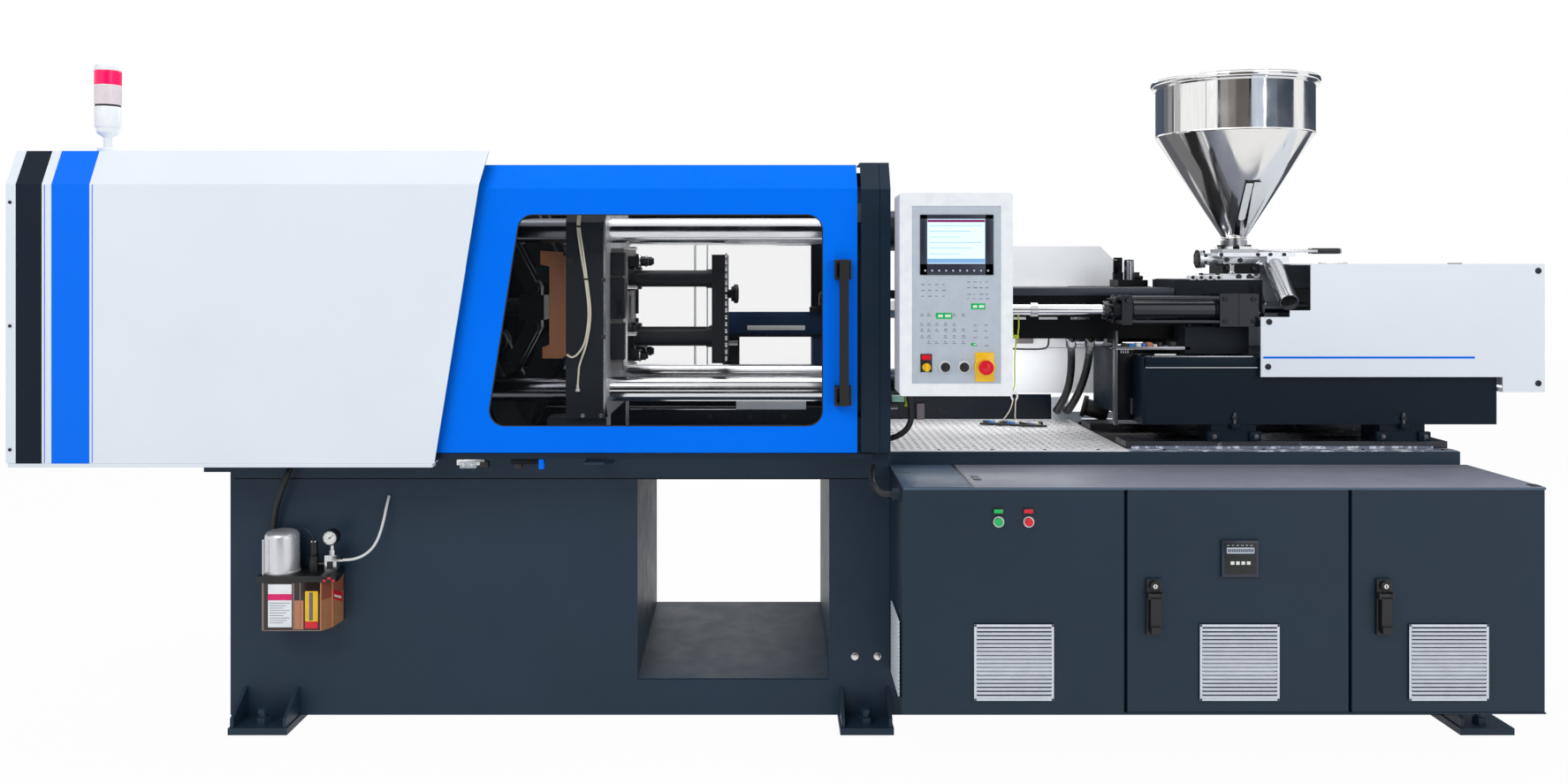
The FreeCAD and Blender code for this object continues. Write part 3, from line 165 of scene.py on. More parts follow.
def painted_glints(name, colour, bright, rough, stretch, share, metallic):
    """Dark oily steel with bright patches that are painted highlights, glints of light on the steel."""
    material, tree = new_material(name)
    patches = noise(tree, 26.0, stretch, detail=6.0, roughness=0.7)
    return dress(material, {
        "Base Color": mix_colours(tree, remap(tree, patches, 0.0, 1.0, share, share + 0.08), colour, bright),
        "Roughness": remap(tree, noise(tree, 11.0), rough - 0.08, rough + 0.14),
        "Normal": bump(tree, patches, 0.2, 0.0003),
        "Metallic": metallic})


def plastic(name, colour, rough, grain=1500.0, depth=0.00006):
    """Plastic or rubber with a fine grain."""
    material, tree = new_material(name)
    return dress(material, {
        "Base Color": cloudy(tree, noise(tree, 30.0), colour, 0.95, 1.04),
        "Roughness": rough,
        "Normal": bump(tree, noise(tree, grain), 0.2, depth)})


def clear(name, colour, rough, alpha, gloss=0.5):
    """Thin clear sheet: mostly seen through, with its own gloss."""
    material, tree = new_material(name)
    return dress(material, {
        "Base Color": colour,
        "Roughness": remap(tree, noise(tree, 3.0), rough, rough + 0.05),
        "Alpha": alpha,
        "Specular IOR Level": gloss})


def glowing(name, colour, strength):
    """A lens or tone that gives off its own light."""
    material, tree = new_material(name)
    return dress(material, {
        "Base Color": colour,
        "Emission Color": colour,
        "Emission Strength": strength,
        "Roughness": 0.2,
        "Normal": bump(tree, noise(tree, 60.0), 0.05, 0.0002)})


def paint_inside_shade(material, height, colour=srgb(14, 17, 21)):
    """Painted shade: gives the faces that look towards the machine's centre line a dark tone that stands for
    the shade of its closed inside.
    """
    tree = material.node_tree
    centred = node(tree, "VectorMath", {0: coordinates(tree), 1: (0, 1, height), 2: (0, 0, -AXIS_Z * height)},
                   operation="MULTIPLY_ADD")
    facing = node(tree, "VectorMath", {0: centred, 1: coordinates(tree, "Normal")}, "Value",
                  operation="DOT_PRODUCT")
    inside = maths(tree, "LESS_THAN", facing, -0.02)
    dress(material, {"Base Color": mix_colours(tree, inside, base_colour(material), colour)})


def machined_faces(material, low_x, high_x):
    """Ground steel on the faces that look along X between two X positions."""
    tree = material.node_tree
    along = node(tree, "SeparateXYZ", {0: coordinates(tree, "Normal")}, "X")
    place = node(tree, "SeparateXYZ", {0: coordinates(tree)}, "X")
    across = maths(tree, "GREATER_THAN", maths(tree, "MULTIPLY", along, along), 0.9)
    between = maths(tree, "MULTIPLY", maths(tree, "GREATER_THAN", place, low_x),
                    maths(tree, "LESS_THAN", place, high_x))
    mask = maths(tree, "MULTIPLY", across, between)
    streaks = remap(tree, noise(tree, 30.0, (1, 1, 0.2), detail=4.0), 0.0, 1.0)
    ground = mix_colours(tree, streaks, (0.42, 0.43, 0.45, 1), (0.74, 0.75, 0.78, 1))
    dress(material, {"Base Color": mix_colours(tree, mask, base_colour(material), ground),
                     "Metallic": maths(tree, "MULTIPLY", mask, 0.8)})


def banded(material, axis, *stripes):
    """Bands of other colours across an axis: each is (lowest, highest, colour)."""
    tree = material.node_tree
    place = node(tree, "SeparateXYZ", {0: coordinates(tree)}, axis)
    for low, high, stripe in stripes:
        mask = maths(tree, "COMPARE", place, (low + high) / 2, (high - low) / 2)
        dress(material, {"Base Color": mix_colours(tree, mask, base_colour(material), stripe)})


def ribbed(material):
    """Fine ribs of a corrugated hose."""
    tree = material.node_tree
    ribs = node(tree, "TexWave", {"Vector": coordinates(tree), "Scale": 38.0}, "Fac",
                bands_direction="DIAGONAL")
    dress(material, {"Normal": bump(tree, ribs, 0.5, 0.0015)})


# Each row: name, screen colour, roughness, cloudiness, gloss.
for name, colour, rough, tone, gloss in (
        ("bed", (35, 53, 70), 0.46, 0.07, 0.3), ("frame", (23, 39, 55), 0.36, 0.06, 0.2),
        # top_cool and top_warm: the cabinet's top sheets, partly their own grey and partly lightened as painted
        # reflection of the bright surroundings.
        ("top_cool", (78, 98, 122), 0.36, 0.2, 0.3), ("top_warm", (136, 140, 152), 0.34, 0.14, 0.4),
        ("painted_edge_highlight", (84, 104, 122), 0.34, 0.06, 0.2), ("cover", (238, 244, 251), 0.34, 0.02, 0.15),
        ("white", (238, 244, 251), 0.34, 0.02, 0.4), ("guards", (9, 11, 14), 0.42, 0.06, 0.1),
        ("blue", (0, 118, 255), 0.3, 0.03, 0.05), ("carriage", (14, 29, 41), 0.42, 0.08, 0.12),
        ("black_paint", (14, 17, 22), 0.36, 0.08, 0.15), ("slate", (44, 51, 64), 0.34, 0.15, 0.4),
        ("cylinder", (17, 23, 32), 0.16, 0.05, 0.5), ("navy", (24, 46, 82), 0.4, 0.06, 0.2)):
    painted(name, srgb(*colour), rough, tone, gloss)
painted("cabinet", srgb(29, 47, 63), 0.45, 0.05, 0.3, grain=700.0, grain_depth=0.0003)
cast("casting", srgb(28, 33, 39), 0.55)
cast("oiled", srgb(34, 36, 40), 0.4)
cast("fixture", srgb(30, 32, 36), 0.4)
metal("chrome_x", (0.8, 0.81, 0.83, 1), 0.08, stretch=(0.05, 1, 1))
metal("tie_bar", (0.76, 0.77, 0.8, 1), 0.17, stretch=(0.05, 1, 1))
metal("steel", (0.62, 0.63, 0.65, 1), 0.24)
metal("stainless", (0.86, 0.855, 0.85, 1), 0.1, stretch=(1, 1, 0.04), grain=260.0)
metal("hopper_cast", (0.62, 0.64, 0.68, 1), 0.22, grain=220.0, depth=0.00006, metallic=0.85)
metal("pale_cast", (0.8, 0.82, 0.86, 1), 0.34, grain=220.0, depth=0.00008, metallic=0.2)
metal("can_steel", (0.74, 0.74, 0.77, 1), 0.28, stretch=(1, 1, 0.05), grain=160.0, metallic=0.55)
metal("aluminium", (0.32, 0.33, 0.355, 1), 0.3, grain=220.0, depth=0.00008)
metal("deck", (0.93, 0.92, 0.93, 1), 0.34, grain=120.0, depth=0.0001, metallic=0.08)
# Painted shade: the tread is a mid grey against the near-white deck, standing for the shaded sides of its
# lozenges.
metal("tread", (0.56, 0.56, 0.58, 1), 0.3, grain=120.0, depth=0.0001, metallic=0.2)
metal("warm_steel", (0.2, 0.18, 0.165, 1), 0.3, spread=0.2)
metal("zinc", (0.7, 0.7, 0.69, 1), 0.28)
metal("black_screw", (0.04, 0.04, 0.045, 1), 0.42)
metal("grey_steel", (0.1, 0.105, 0.115, 1), 0.4)
# Both materials below: dark steel whose bright patches are painted highlights.
painted_glints("oily", (0.045, 0.048, 0.058, 1), (0.3, 0.29, 0.31, 1), 0.26, (1, 3, 1), 0.6, 0.7)
painted_glints("rail_glints", (0.2, 0.24, 0.32, 1), (0.86, 0.88, 0.94, 1), 0.34, (1, 2, 1), 0.5, 0.1)
clear("pane", (0.05, 0.06, 0.07, 1), 0.05, 0.03, gloss=0.12)
clear("clear_edge", srgb(206, 214, 224), 0.1, 0.55)
plastic("rubber", srgb(17, 18, 21), 0.5, grain=700.0, depth=0.0002)
# Each row: name, screen colour, roughness.
for name, colour, rough in (
        ("black", (17, 18, 21), 0.42), ("grey_plastic", (246, 250, 255), 0.35),
        ("grille", (228, 233, 240), 0.42),
        ("membrane", (188, 198, 209), 0.5), ("bezel", (40, 46, 62), 0.3), ("green", (0, 190, 96), 0.22),
        ("red", (226, 16, 40), 0.22), ("magenta", (236, 20, 110), 0.4), ("yellow", (250, 200, 10), 0.3),
        ("brown", (196, 128, 88), 0.5), ("white_plastic", (238, 238, 234), 0.4), ("ink", (70, 76, 88), 0.5),
        ("lens_clear", (240, 226, 230), 0.12), ("oil", (176, 122, 84), 0.15), ("oil_film", (150, 84, 62), 0.15),
        ("smoky", (44, 34, 32), 0.12), ("wire_white", (226, 218, 200), 0.4),
        ("wire_yellow", (214, 226, 60), 0.4),
        ("blue_plastic", (40, 120, 200), 0.35), ("lens_pale", (238, 241, 243), 0.1),
        ("mint", (176, 226, 208), 0.4),
        ("stone", (116, 108, 114), 0.5), ("painted_rim_highlight", (138, 120, 110), 0.15), ("ribbed", (19, 20, 23), 0.45)):
    plastic(name, srgb(*colour), rough)
# Each row: name, screen colour, strength.
for name, colour, strength in (
        ("screen", (196, 222, 240), 0.75), ("screen_head", (120, 44, 90), 0.5),
        ("screen_line", (120, 160, 200), 0.5), ("lens_red", (255, 0, 96), 0.25)):
    glowing(name, srgb(*colour), strength)
ribbed(M["ribbed"])
banded(M["cover"], "X", (-2.224, -2.15, srgb(16, 28, 42)), (-2.123, -2.015, srgb(0, 118, 255)))
# Painted shade on the inner faces of the clamp covers and of the gates.
paint_inside_shade(M["cover"], 1.0)
paint_inside_shade(M["blue"], 0.5)
machined_faces(M["casting"], -0.6, 0.13)
# The rear sheet's white is its own paint, set a little brighter than the covers' white as painted light against
# the shade it sits in.
banded(M["guards"], "Y", (0.3295, 0.4, srgb(250, 252, 255)))
# Painted shade: the tie bars' chrome is darkened over two stretches along X, where they lie in shade.
banded(M["tie_bar"], "X", (-1.9, -0.705, (0.1, 0.105, 0.12, 1)), (0.18, 0.33, (0.03, 0.035, 0.045, 1)))
banded(M["fixture"], "X", (-0.59, -0.548, srgb(128, 126, 124)))
# Painted shade: below the bin's lower rim the hopper's cone is a little darker than the bin.
banded(M["stainless"], "Z", (1.44, 1.7905, (0.8, 0.79, 0.78, 1)))
banded(M["deck"], "Y", (0.44, 0.46, srgb(14, 24, 38)))


# ---- piece building ----------------------------------------------------------------------------------------
class Kit:
    """Collects closed solids of several materials into one named piece."""

    def __init__(self, name, body, slot):
        self.name, self.body, self.slot = name, body, slot
        self.mesh = bmesh.new()
        self.materials = []

    def corners(self, places):
        return [self.mesh.verts.new(place) for place in places]

    def strip(self, below, above):
        """Four-cornered faces around between two rings of as many corners."""
        for k in range(len(below)):
            n = (k + 1) % len(below)
            self.mesh.faces.new((below[k], below[n], above[n], above[k]))

    def finish(self, corners, material, bevel=0.0, rims_only=False):
        """Gives the faces at the corners their material, and rounds their edges."""
        if material not in self.materials:
            self.materials.append(material)
        for face in {f for v in corners for f in v.link_faces}:
            face.material_index = self.materials.index(material)
        if bevel:
            edges = [e for e in {e for v in corners for e in v.link_edges}
                     if not rims_only or any(len(f.verts) > 4 for f in e.link_faces)]
            rounded = bmesh.ops.bevel(self.mesh, geom=edges, offset=bevel, segments=2, profile=0.5,
                                      affect="EDGES")
            self.finish(rounded["verts"], material)

    def box(self, low, high, material, bevel=0.0):
        size = [high[i] - low[i] for i in range(3)]
        middle = [(high[i] + low[i]) / 2 for i in range(3)]
        place = Matrix.Translation(middle) @ Matrix.Diagonal((*size, 1))
        self.finish(bmesh.ops.create_cube(self.mesh, size=1.0, matrix=place)["verts"], material, bevel)

    def rod(self, start, end, radius, material, sides=32, bevel=0.0):
        start, end = Vector(start), Vector(end)
        turn = (end - start).to_track_quat("Z", "Y").to_matrix().to_4x4()
        made = bmesh.ops.create_cone(self.mesh, cap_ends=True, segments=sides, radius1=radius, radius2=radius,
                                     depth=(end - start).length,
                                     matrix=Matrix.Translation((start + end) / 2) @ turn)
        self.finish(made["verts"], material, bevel, rims_only=True)

    def bolt(self, place, way, across, head, material="black_screw"):
        """A hexagon head with its washer."""
        place, way = Vector(place), Vector(way)
        self.rod(place, place + way * head, across * 0.577, material, sides=6, bevel=across * 0.04)
        self.rod(place, place + way * head * 0.12, across * 0.62, material, sides=24)

    def screw(self, place, way, across, head, material="black_screw"):
        """A socket head with its hollow."""
        self.lathe(place, way, [(0, 0), (across / 2, 0), (across / 2, head * 0.86), (across * 0.44, head),
                                (across * 0.27, head), (across * 0.27, head * 0.5), (0, head * 0.5)],
                   material, sides=20)

    def lathe(self, place, way, profile, material, sides=48):
        """Turned piece: profile points are (radius, height along the way)."""
        place, turn = Vector(place), Vector(way).normalized().to_track_quat("Z", "Y").to_matrix()
        rings = []
        for radius, height in profile:
            angles = [2 * math.pi * k / sides for k in range(sides)] if radius else [0]
            rings.append(self.corners(
                place + turn @ Vector((radius * math.cos(a), radius * math.sin(a), height)) for a in angles))
        for below, above in zip(rings, rings[1:]):
            if len(below) == len(above):
                self.strip(below, above)
            elif len(below) == 1:
                for k in range(sides):
                    self.mesh.faces.new((below[0], above[(k + 1) % sides], above[k]))
            else:
                for k in range(sides):
                    self.mesh.faces.new((below[k], below[(k + 1) % sides], above[0]))
        self.finish([v for ring in rings for v in ring], material)

    def turned(self, place, way, outline, material, sides=48, bore=0):
        """A turned piece, closed flat at both ends of its outline, down to its bore."""
        self.lathe(place, way, [(bore, outline[0][1]), *outline, (bore, outline[-1][1])], material, sides)

    def prism(self, outline, push, material, bevel=0.0):
        """A flat polygon of 3-D corners, pushed along a vector."""
        lower = self.corners(outline)
        upper = self.corners(Vector(place) + Vector(push) for place in outline)
        self.mesh.faces.new(lower[::-1])
        self.mesh.faces.new(upper)
        self.strip(lower, upper)
        self.finish(lower + upper, material, bevel)

    def ring_prism(self, outer, inner, low_y, high_y, material):
        """A flat frame between two loops of (x, z) with as many points each, from low_y to high_y."""
        loops = [self.corners((x, y, z) for x, z in loop)
                 for loop, y in ((outer, low_y), (outer, high_y), (inner, high_y), (inner, low_y))]
        for k in range(4):
            self.strip(loops[k - 1], loops[k])
        self.finish([v for loop in loops for v in loop], material)

    def tube(self, points, radius, material, sides=12):
        """A round bar along a line of points, with closed ends."""
        line = [Vector(p) for p in points]
        rings = []
        side = (line[1] - line[0]).orthogonal()
        for index, point in enumerate(line):
            way = (line[min(index + 1, len(line) - 1)] - line[max(index - 1, 0)]).normalized()
            side = (side - way * side.dot(way)).normalized()
            up = way.cross(side)
            rings.append(self.corners(point + (side * math.cos(a) + up * math.sin(a)) * radius
                                       for a in (2 * math.pi * k / sides for k in range(sides))))
        for below, above in zip(rings, rings[1:]):
            self.strip(below, above)
        self.mesh.faces.new(rings[0][::-1])
        self.mesh.faces.new(rings[-1])
        self.finish([v for ring in rings for v in ring], material)

    def done(self, replaces=(), smooth_angle=35):
        bmesh.ops.recalc_face_normals(self.mesh, faces=self.mesh.faces[:])
        data = bpy.data.meshes.new(self.name)
        self.mesh.to_mesh(data)
        self.mesh.free()
        for material in self.materials:
            data.materials.append(M[material])
        piece = bpy.data.objects.new(self.name, data)
        bpy.context.scene.collection.objects.link(piece)
        data.shade_smooth()
        data.set_sharp_from_angle(angle=math.radians(smooth_angle))
        if self.body:
            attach(piece, self.body)
        if replaces:
            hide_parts(*replaces)
        return piece


def around(count, radius, first_angle=0.0):
    """Places on a circle, from an angle in degrees."""
    angles = [math.radians(first_angle + 360 * k / count) for k in range(count)]
    return [(radius * math.cos(a), radius * math.sin(a)) for a in angles]


def smooth_curve(points, per_span=6):
    """Points on a smooth line through the given ones."""
    line = [Vector(p) for p in points]
    result = []
    for k in range(len(line) - 1):
        a = line[max(k - 1, 0)]
        b, c = line[k], line[k + 1]
        d = line[min(k + 2, len(line) - 1)]
        for t in (step / per_span for step in range(per_span)):
            result.append(0.5 * ((2 * b) + (c - a) * t + (2 * a - 5 * b + 4 * c - d) * t * t
                                 + (3 * b - a - 3 * c + d) * t ** 3))
    return result + [line[-1]]


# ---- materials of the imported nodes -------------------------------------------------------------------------
NODE_MATERIALS = {
    "bed": "machine_bed mounting_feet",
    "frame": "guard_frame",
    "cabinet": "cabinet_body door_middle door_right hydraulic_unit",
    "cover": "clamp_covers",
    "white": "carriage_cover",
    "blue": "front_gate rear_gate",
    "casting": "fixed_platen tail_platen moving_platen feed_housing clamp_cylinder injection_drive "
               "injection_ram",
    "carriage": "carriage_base",
    "oiled": "rear_toggle_link_upper rear_toggle_link_lower front_toggle_link_upper front_toggle_link_lower "
             "crosshead crosshead_link_upper crosshead_link_lower ejector_plate",
    "tie_bar": "tie_bars",
    "fixture": "mould_fixture",
    "chrome_x": "carriage_rods screw",
    "oily": "carriage_rails",
    "steel": "barrel",
    "deck": "deck_plate",
    "pane": "front_gate_window rear_gate_window",
    "black": "front_gate_handle swing_handle_middle swing_handle_right panel_button_left panel_button_right",
    "cylinder": "carriage_cylinders",
    "black_paint": "valve_block",
    "guards": "barrel_guards",
    "stainless": "hopper",
    "hopper_cast": "hopper_base",
    "aluminium": "hopper_slide",
    "grey_plastic": "control_panel",
    "green": "start_button",
    "red": "stop_button emergency_stop",
    "yellow": "selector_knob",
}
EDGE_WIDTHS = {
    0.003: "machine_bed carriage_base fixed_platen moving_platen tail_platen front_gate_handle feed_housing "
           "hydraulic_unit",
    0.002: "carriage_cylinders swing_handle_middle swing_handle_right valve_block",
    0.0015: "mounting_feet clamp_covers guard_frame carriage_cover mould_fixture hopper_base carriage_rails",
    0.0012: "front_gate rear_gate control_panel cabinet_body door_middle door_right barrel_guards",
    0.001: "hopper_slide start_button stop_button panel_button_left panel_button_right selector_knob",
}


def dress_nodes():
    """Gives the CAD objects their materials, and a narrow rounding that catches light on edges."""
    for material, names in NODE_MATERIALS.items():
        for name in names.split():
            data = NODES[name].data
            data.materials.clear()
            data.materials.append(M[material])
    for width, names in EDGE_WIDTHS.items():
        for name in names.split():
            bevel = NODES[name].modifiers.new("edge", "BEVEL")
            bevel.width = width
            bevel.segments = 2
            bevel.limit_method = "ANGLE"
            bevel.angle_limit = math.radians(40)


# ---- control panel -----------------------------------------------------------------------------------------
PANEL_FRONT = -0.64
RECESS = PANEL_FRONT + 0.003


def panel_front():
    """Keypad membrane, and the lit screen with its frame, lines and row of marks."""
    kit = Kit("panel_front", "panel", "panel_case")
    y = RECESS
    kit.box((0.301, y - 0.0012, 1.047), (0.544, y + 0.001, 1.534), "membrane", 0.0004)
    for x0, x1, z0, z1 in ((0.322, 0.524, 1.345, 1.376), (0.322, 0.524, 1.499, 1.511),
                           (0.322, 0.342, 1.345, 1.511), (0.501, 0.524, 1.345, 1.511)):
        kit.box((x0, y - 0.0045, z0), (x1, y, z1), "bezel", 0.001)
    kit.box((0.341, y - 0.002, 1.375), (0.502, y, 1.5), "screen")
    kit.box((0.343, y - 0.0026, 1.49), (0.5, y - 0.002, 1.497), "screen_head")
    for row in range(6):
        z = 1.48 - row * 0.0155
        kit.box((0.348, y - 0.0025, z), (0.493 - (row % 3) * 0.03, y - 0.002, z + 0.0014), "screen_line")
    kit.box((0.343, y - 0.0026, 1.378), (0.5, y - 0.002, 1.39), "screen_line")
    for k in range(10):
        x = 0.336 + k * 0.0192
        kit.rod((x, y - 0.0048, 1.357), (x, y - 0.0044, 1.357), 0.0028, "membrane", sides=12)
    kit.done()


def key_marks():
    """Small generic marks of the membrane keys, in rows."""
    kit = Kit("panel_key_marks", "panel", "panel_case")
    y = RECESS - 0.0012
    chooser = random.Random(7)

    def mark(x, z, wide, high=0.0016):
        kit.box((x, y - 0.0004, z), (x + wide, y + 0.0002, z + high), "ink")

    for rows, columns, shortest, spread in (
            ((1.318, 1.302, 1.286), (0.326, 0.345, 0.364, 0.383), 0.006, 0.006),
            ((1.325, 1.309, 1.291, 1.279), (0.452, 0.469, 0.486, 0.503), 0.004, 0.007)):
        for z in rows:
            for x in columns:
                mark(x, z, shortest + spread * chooser.random())
    for z in (1.232, 1.206, 1.19, 1.172, 1.156):
        for x in (0.322, 0.341, 0.363, 0.387, 0.411, 0.436):
            if chooser.random() < 0.82:
                mark(x, z, 0.011, 0.0012)
                mark(x + 0.002, z + 0.005, 0.004 + 0.004 * chooser.random())
    for z in (1.206, 1.19, 1.172, 1.15):
        for x in (0.47, 0.5):
            mark(x, z, 0.006 + 0.005 * chooser.random())
    for x, z, wide, high in ((0.366, 1.224, 0.045, 0.017), (0.462, 1.25, 0.04, 0.017),
                             (0.462, 1.15, 0.014, 0.008)):
        kit.box((x, y - 0.0006, z), (x + wide, y + 0.0002, z + high), "green", 0.0002)
        for left, right in ((x + 0.006, x + wide * 0.42), (x + wide * 0.56, x + wide * 0.9)):
            kit.box((left, y - 0.0009, z + high * 0.3), (right, y - 0.0005, z + high * 0.7), "white_plastic")
    kit.done()


def panel_switches():
    """Collars and plates fixed to the panel, and the moving heads on their own bodies."""
    kit = Kit("panel_collars", "panel", "panel_case")
    y, z = RECESS, 1.092
    kit.box((0.323, y - 0.0035, 1.078), (0.355, y, 1.128), "black", 0.001)
    kit.box((0.327, y - 0.0042, 1.112), (0.351, y - 0.003, 1.125), "red")
    kit.box((0.4735, y - 0.0042, 1.0515), (0.5265, y, 1.1325), "yellow", 0.002)
    kit.turned((0.5, y - 0.004, z), FRONT, [(0.029, 0), (0.029, 0.002), (0.0265, 0.0035)], "yellow")
    keys = (("left_key", 0.391), ("right_key", 0.443))
    for _, x in keys:
        kit.lathe((x, y, z), FRONT, [(0.0113, 0), (0.0165, 0), (0.0165, 0.003), (0.015, 0.0045),
                                     (0.0113, 0.0045), (0.0113, 0)], "white_plastic")
    kit.done()
    for body, x in keys:
        cap = Kit(body + "_cap", body, "black_plastic")
        cap.lathe((x, y - 0.0105, z), FRONT, [(0, 0), (0.0125, 0), (0.0132, 0.0012), (0.0126, 0.0034),
                                              (0.01, 0.004), (0, 0.0036)], "black", sides=40)
        cap.done()
    under = Kit("panel_terminals", "machine", "panel_case")
    under.box((0.263, -0.456, 0.976), (0.299, -0.43, 0.9935), "mint", 0.001)
    for x in (0.302, 0.3055, 0.309):
        under.tube([(x, -0.452, 0.993), (x + 0.002, -0.454, 0.976), (x - 0.001, -0.452, 0.962)], 0.0015,
                   "wire_yellow", sides=8)
    under.done()
    head = Kit("stop_mushroom_head", "stop_mushroom", "red_button")
    head.lathe((0.5, y - 0.004, z), FRONT, [(0, -0.014), (0.0125, -0.014), (0.0125, 0.008), (0.0188, 0.01),
                                            (0.0202, 0.014), (0.02, 0.019), (0.017, 0.0235), (0.01, 0.0262),
                                            (0, 0.027)], "red")
    for x, rise in around(3, 0.013, 90):
        head.box((0.5 + x - 0.003, y - 0.0292, z + rise - 0.001),
                 (0.5 + x + 0.003, y - 0.0277, z + rise + 0.001), "white_plastic")
    head.done()


# ---- cabinet -----------------------------------------------------------------------------------------------
CABINET_FRONT = -0.7
GRILLE_LOW, GRILLE_HIGH = 0.198, 0.404


def grille(name, body, low_x, high_x):
    """Louvred vent: a rim with sloping slats in front of the sheet."""
    kit = Kit(name, body, "cabinet_paint")
    y, rim, slats = CABINET_FRONT, 0.007, 18
    for x0, x1, z0, z1 in ((low_x, low_x + rim, GRILLE_LOW, GRILLE_HIGH),
                           (high_x - rim, high_x, GRILLE_LOW, GRILLE_HIGH),
                           (low_x, high_x, GRILLE_LOW, GRILLE_LOW + rim),
                           (low_x, high_x, GRILLE_HIGH - rim, GRILLE_HIGH)):
        kit.box((x0, y - 0.0065, z0), (x1, y - 0.0003, z1), "grille", 0.001)
    kit.box((low_x + 0.004, y - 0.0022, GRILLE_LOW + 0.004), (high_x - 0.004, y - 0.0004, GRILLE_HIGH - 0.004),
            "grille")
    pitch = (GRILLE_HIGH - GRILLE_LOW - 2 * rim) / slats
    section = ((0.0075, 0.0012), (0.0105, 0.0012), (0.0112, 0.003), (0.002, pitch * 0.86),
               (0.0018, pitch * 0.62))
    for k in range(slats):
        z = GRILLE_LOW + rim + k * pitch
        kit.prism([(low_x + 0.006, y - out, z + rise) for out, rise in section],
                  (high_x - low_x - 0.012, 0, 0), "grille")
    kit.done()


def side_grille():
    """The vent in the cabinet's left face."""
    kit = Kit("cabinet_side_grille", "machine", "cabinet_paint")
    x, low_y, high_y = 0.268, -0.675, -0.46
    for y in (low_y, high_y - 0.007):
        kit.box((x - 0.0062, y, GRILLE_LOW), (x - 0.0003, y + 0.007, GRILLE_HIGH), "grille", 0.001)
    for k in range(19):
        z = GRILLE_LOW + k * (GRILLE_HIGH - GRILLE_LOW - 0.008) / 18
        kit.box((x - 0.0095, low_y + 0.004, z), (x - 0.0003, high_y - 0.004, z + 0.0065), "grille", 0.001)
    kit.done()


def cabinet_details():
    """Button collars and top sheets, the panel meter, and the dishes of the doors' locks."""
    y = CABINET_FRONT
    kit = Kit("cabinet_fittings", "machine", "cabinet_paint")
    for x, colour in ((0.526, "green"), (0.607, "red")):
        kit.lathe((x, y, 0.68), FRONT, [(0.0113, 0), (0.016, 0), (0.016, 0.005), (0.0146, 0.0075),
                                        (0.0113, 0.0075), (0.0113, 0)], "zinc")
        kit.box((x - 0.0155, y - 0.0032, 0.699), (x + 0.0155, y - 0.0003, 0.717), "black", 0.0008)
        kit.box((x - 0.012, y - 0.0037, 0.703), (x + 0.012, y - 0.0029, 0.713), colour)
    # Top sheets: their light grey is partly their own colour and partly painted reflection of the bright
    # surroundings at a grazing angle.
    kit.box((0.269, -0.699, 0.7705), (0.4535, -0.321, 0.7725), "top_cool", 0.0006)
    kit.box((0.4625, -0.699, 0.7705), (2.004, -0.321, 0.7725), "top_warm", 0.0006)
    kit.box((0.4535, -0.699, 0.7705), (0.4625, -0.321, 0.7714), "black")
    # Painted highlight: a light strip along the front edge of the cabinet top.
    kit.box((0.27, -0.701, 0.7655), (2.004, -0.6992, 0.7712), "painted_edge_highlight")
    kit.box((0.286, -0.472, 0.7724), (0.312, -0.462, 0.7732), "black")
    kit.box((0.479, -0.59, 0.7724), (0.5, -0.525, 0.775), "grey_steel", 0.001)
    kit.box((1.975, -0.69, 0.7724), (2.0, -0.66, 0.7745), "black", 0.0006)
    kit.done()
    meter = Kit("panel_meter", "middle_door", "cabinet_paint")
    meter.box((1.1265, y - 0.0095, 0.5325), (1.2255, y - 0.0003, 0.6305), "bezel", 0.002)
    meter.box((1.133, y - 0.0102, 0.54), (1.219, y - 0.0094, 0.624), "black", 0.0004)
    meter.box((1.139, y - 0.0108, 0.596), (1.213, y - 0.0101, 0.612), "membrane")
    for count, x, pitch, wide, near, far, z0, z1, material, bevel in (
            (14, 1.142, 0.005, 0.003, 0.0112, 0.0107, 0.6, 0.608, "bezel", 0),
            (4, 1.149, 0.0145, 0.01, 0.0118, 0.0101, 0.566, 0.575, "white_plastic", 0.0006),
            (6, 1.14, 0.0125, 0.006, 0.0106, 0.0101, 0.617, 0.6186, "membrane", 0)):
        for k in range(count):
            meter.box((x + k * pitch, y - near, z0), (x + k * pitch + wide, y - far, z1), material, bevel)
    meter.done()
    for name, body, x in (("middle_door_lock", "middle_door", 0.9435),
                          ("right_door_lock", "right_door", 1.563)):
        lock = Kit(name, body, "black_plastic")
        lock.prism([(x + across, y - 0.0104, z) for across, z in (
            (-0.02, 0.377), (0.02, 0.377), (0.02, 0.517), (0.015, 0.527), (-0.015, 0.527), (-0.02, 0.517))],
            (0, 0.0006, 0), "black")
        lock.lathe((x, y - 0.01, 0.51), FRONT, [(0.0002, 0), (0.0125, 0), (0.0125, 0.0095), (0.011, 0.0112),
                                                (0.0002, 0.0112)], "black")
        lock.lathe((x, y - 0.021, 0.51), FRONT, [(0.0002, 0), (0.0065, 0), (0.006, 0.0012), (0.0002, 0.0012)],
                   "zinc")
        lock.box((x - 0.0009, y - 0.0232, 0.5065), (x + 0.0009, y - 0.0218, 0.5135), "black")
        for left, right in ((x - 0.0205, x - 0.0142), (x + 0.0142, x + 0.0205)):
            lock.box((left, y - 0.0245, 0.4755), (right, y - 0.009, 0.4925), "black", 0.001)
        for left, right in ((x - 0.0205, x - 0.0138), (x + 0.0138, x + 0.0205)):
            lock.box((left, y - 0.0106, 0.3765), (right, y + 0.0002, 0.5175), "black", 0.001)
        lock.done()


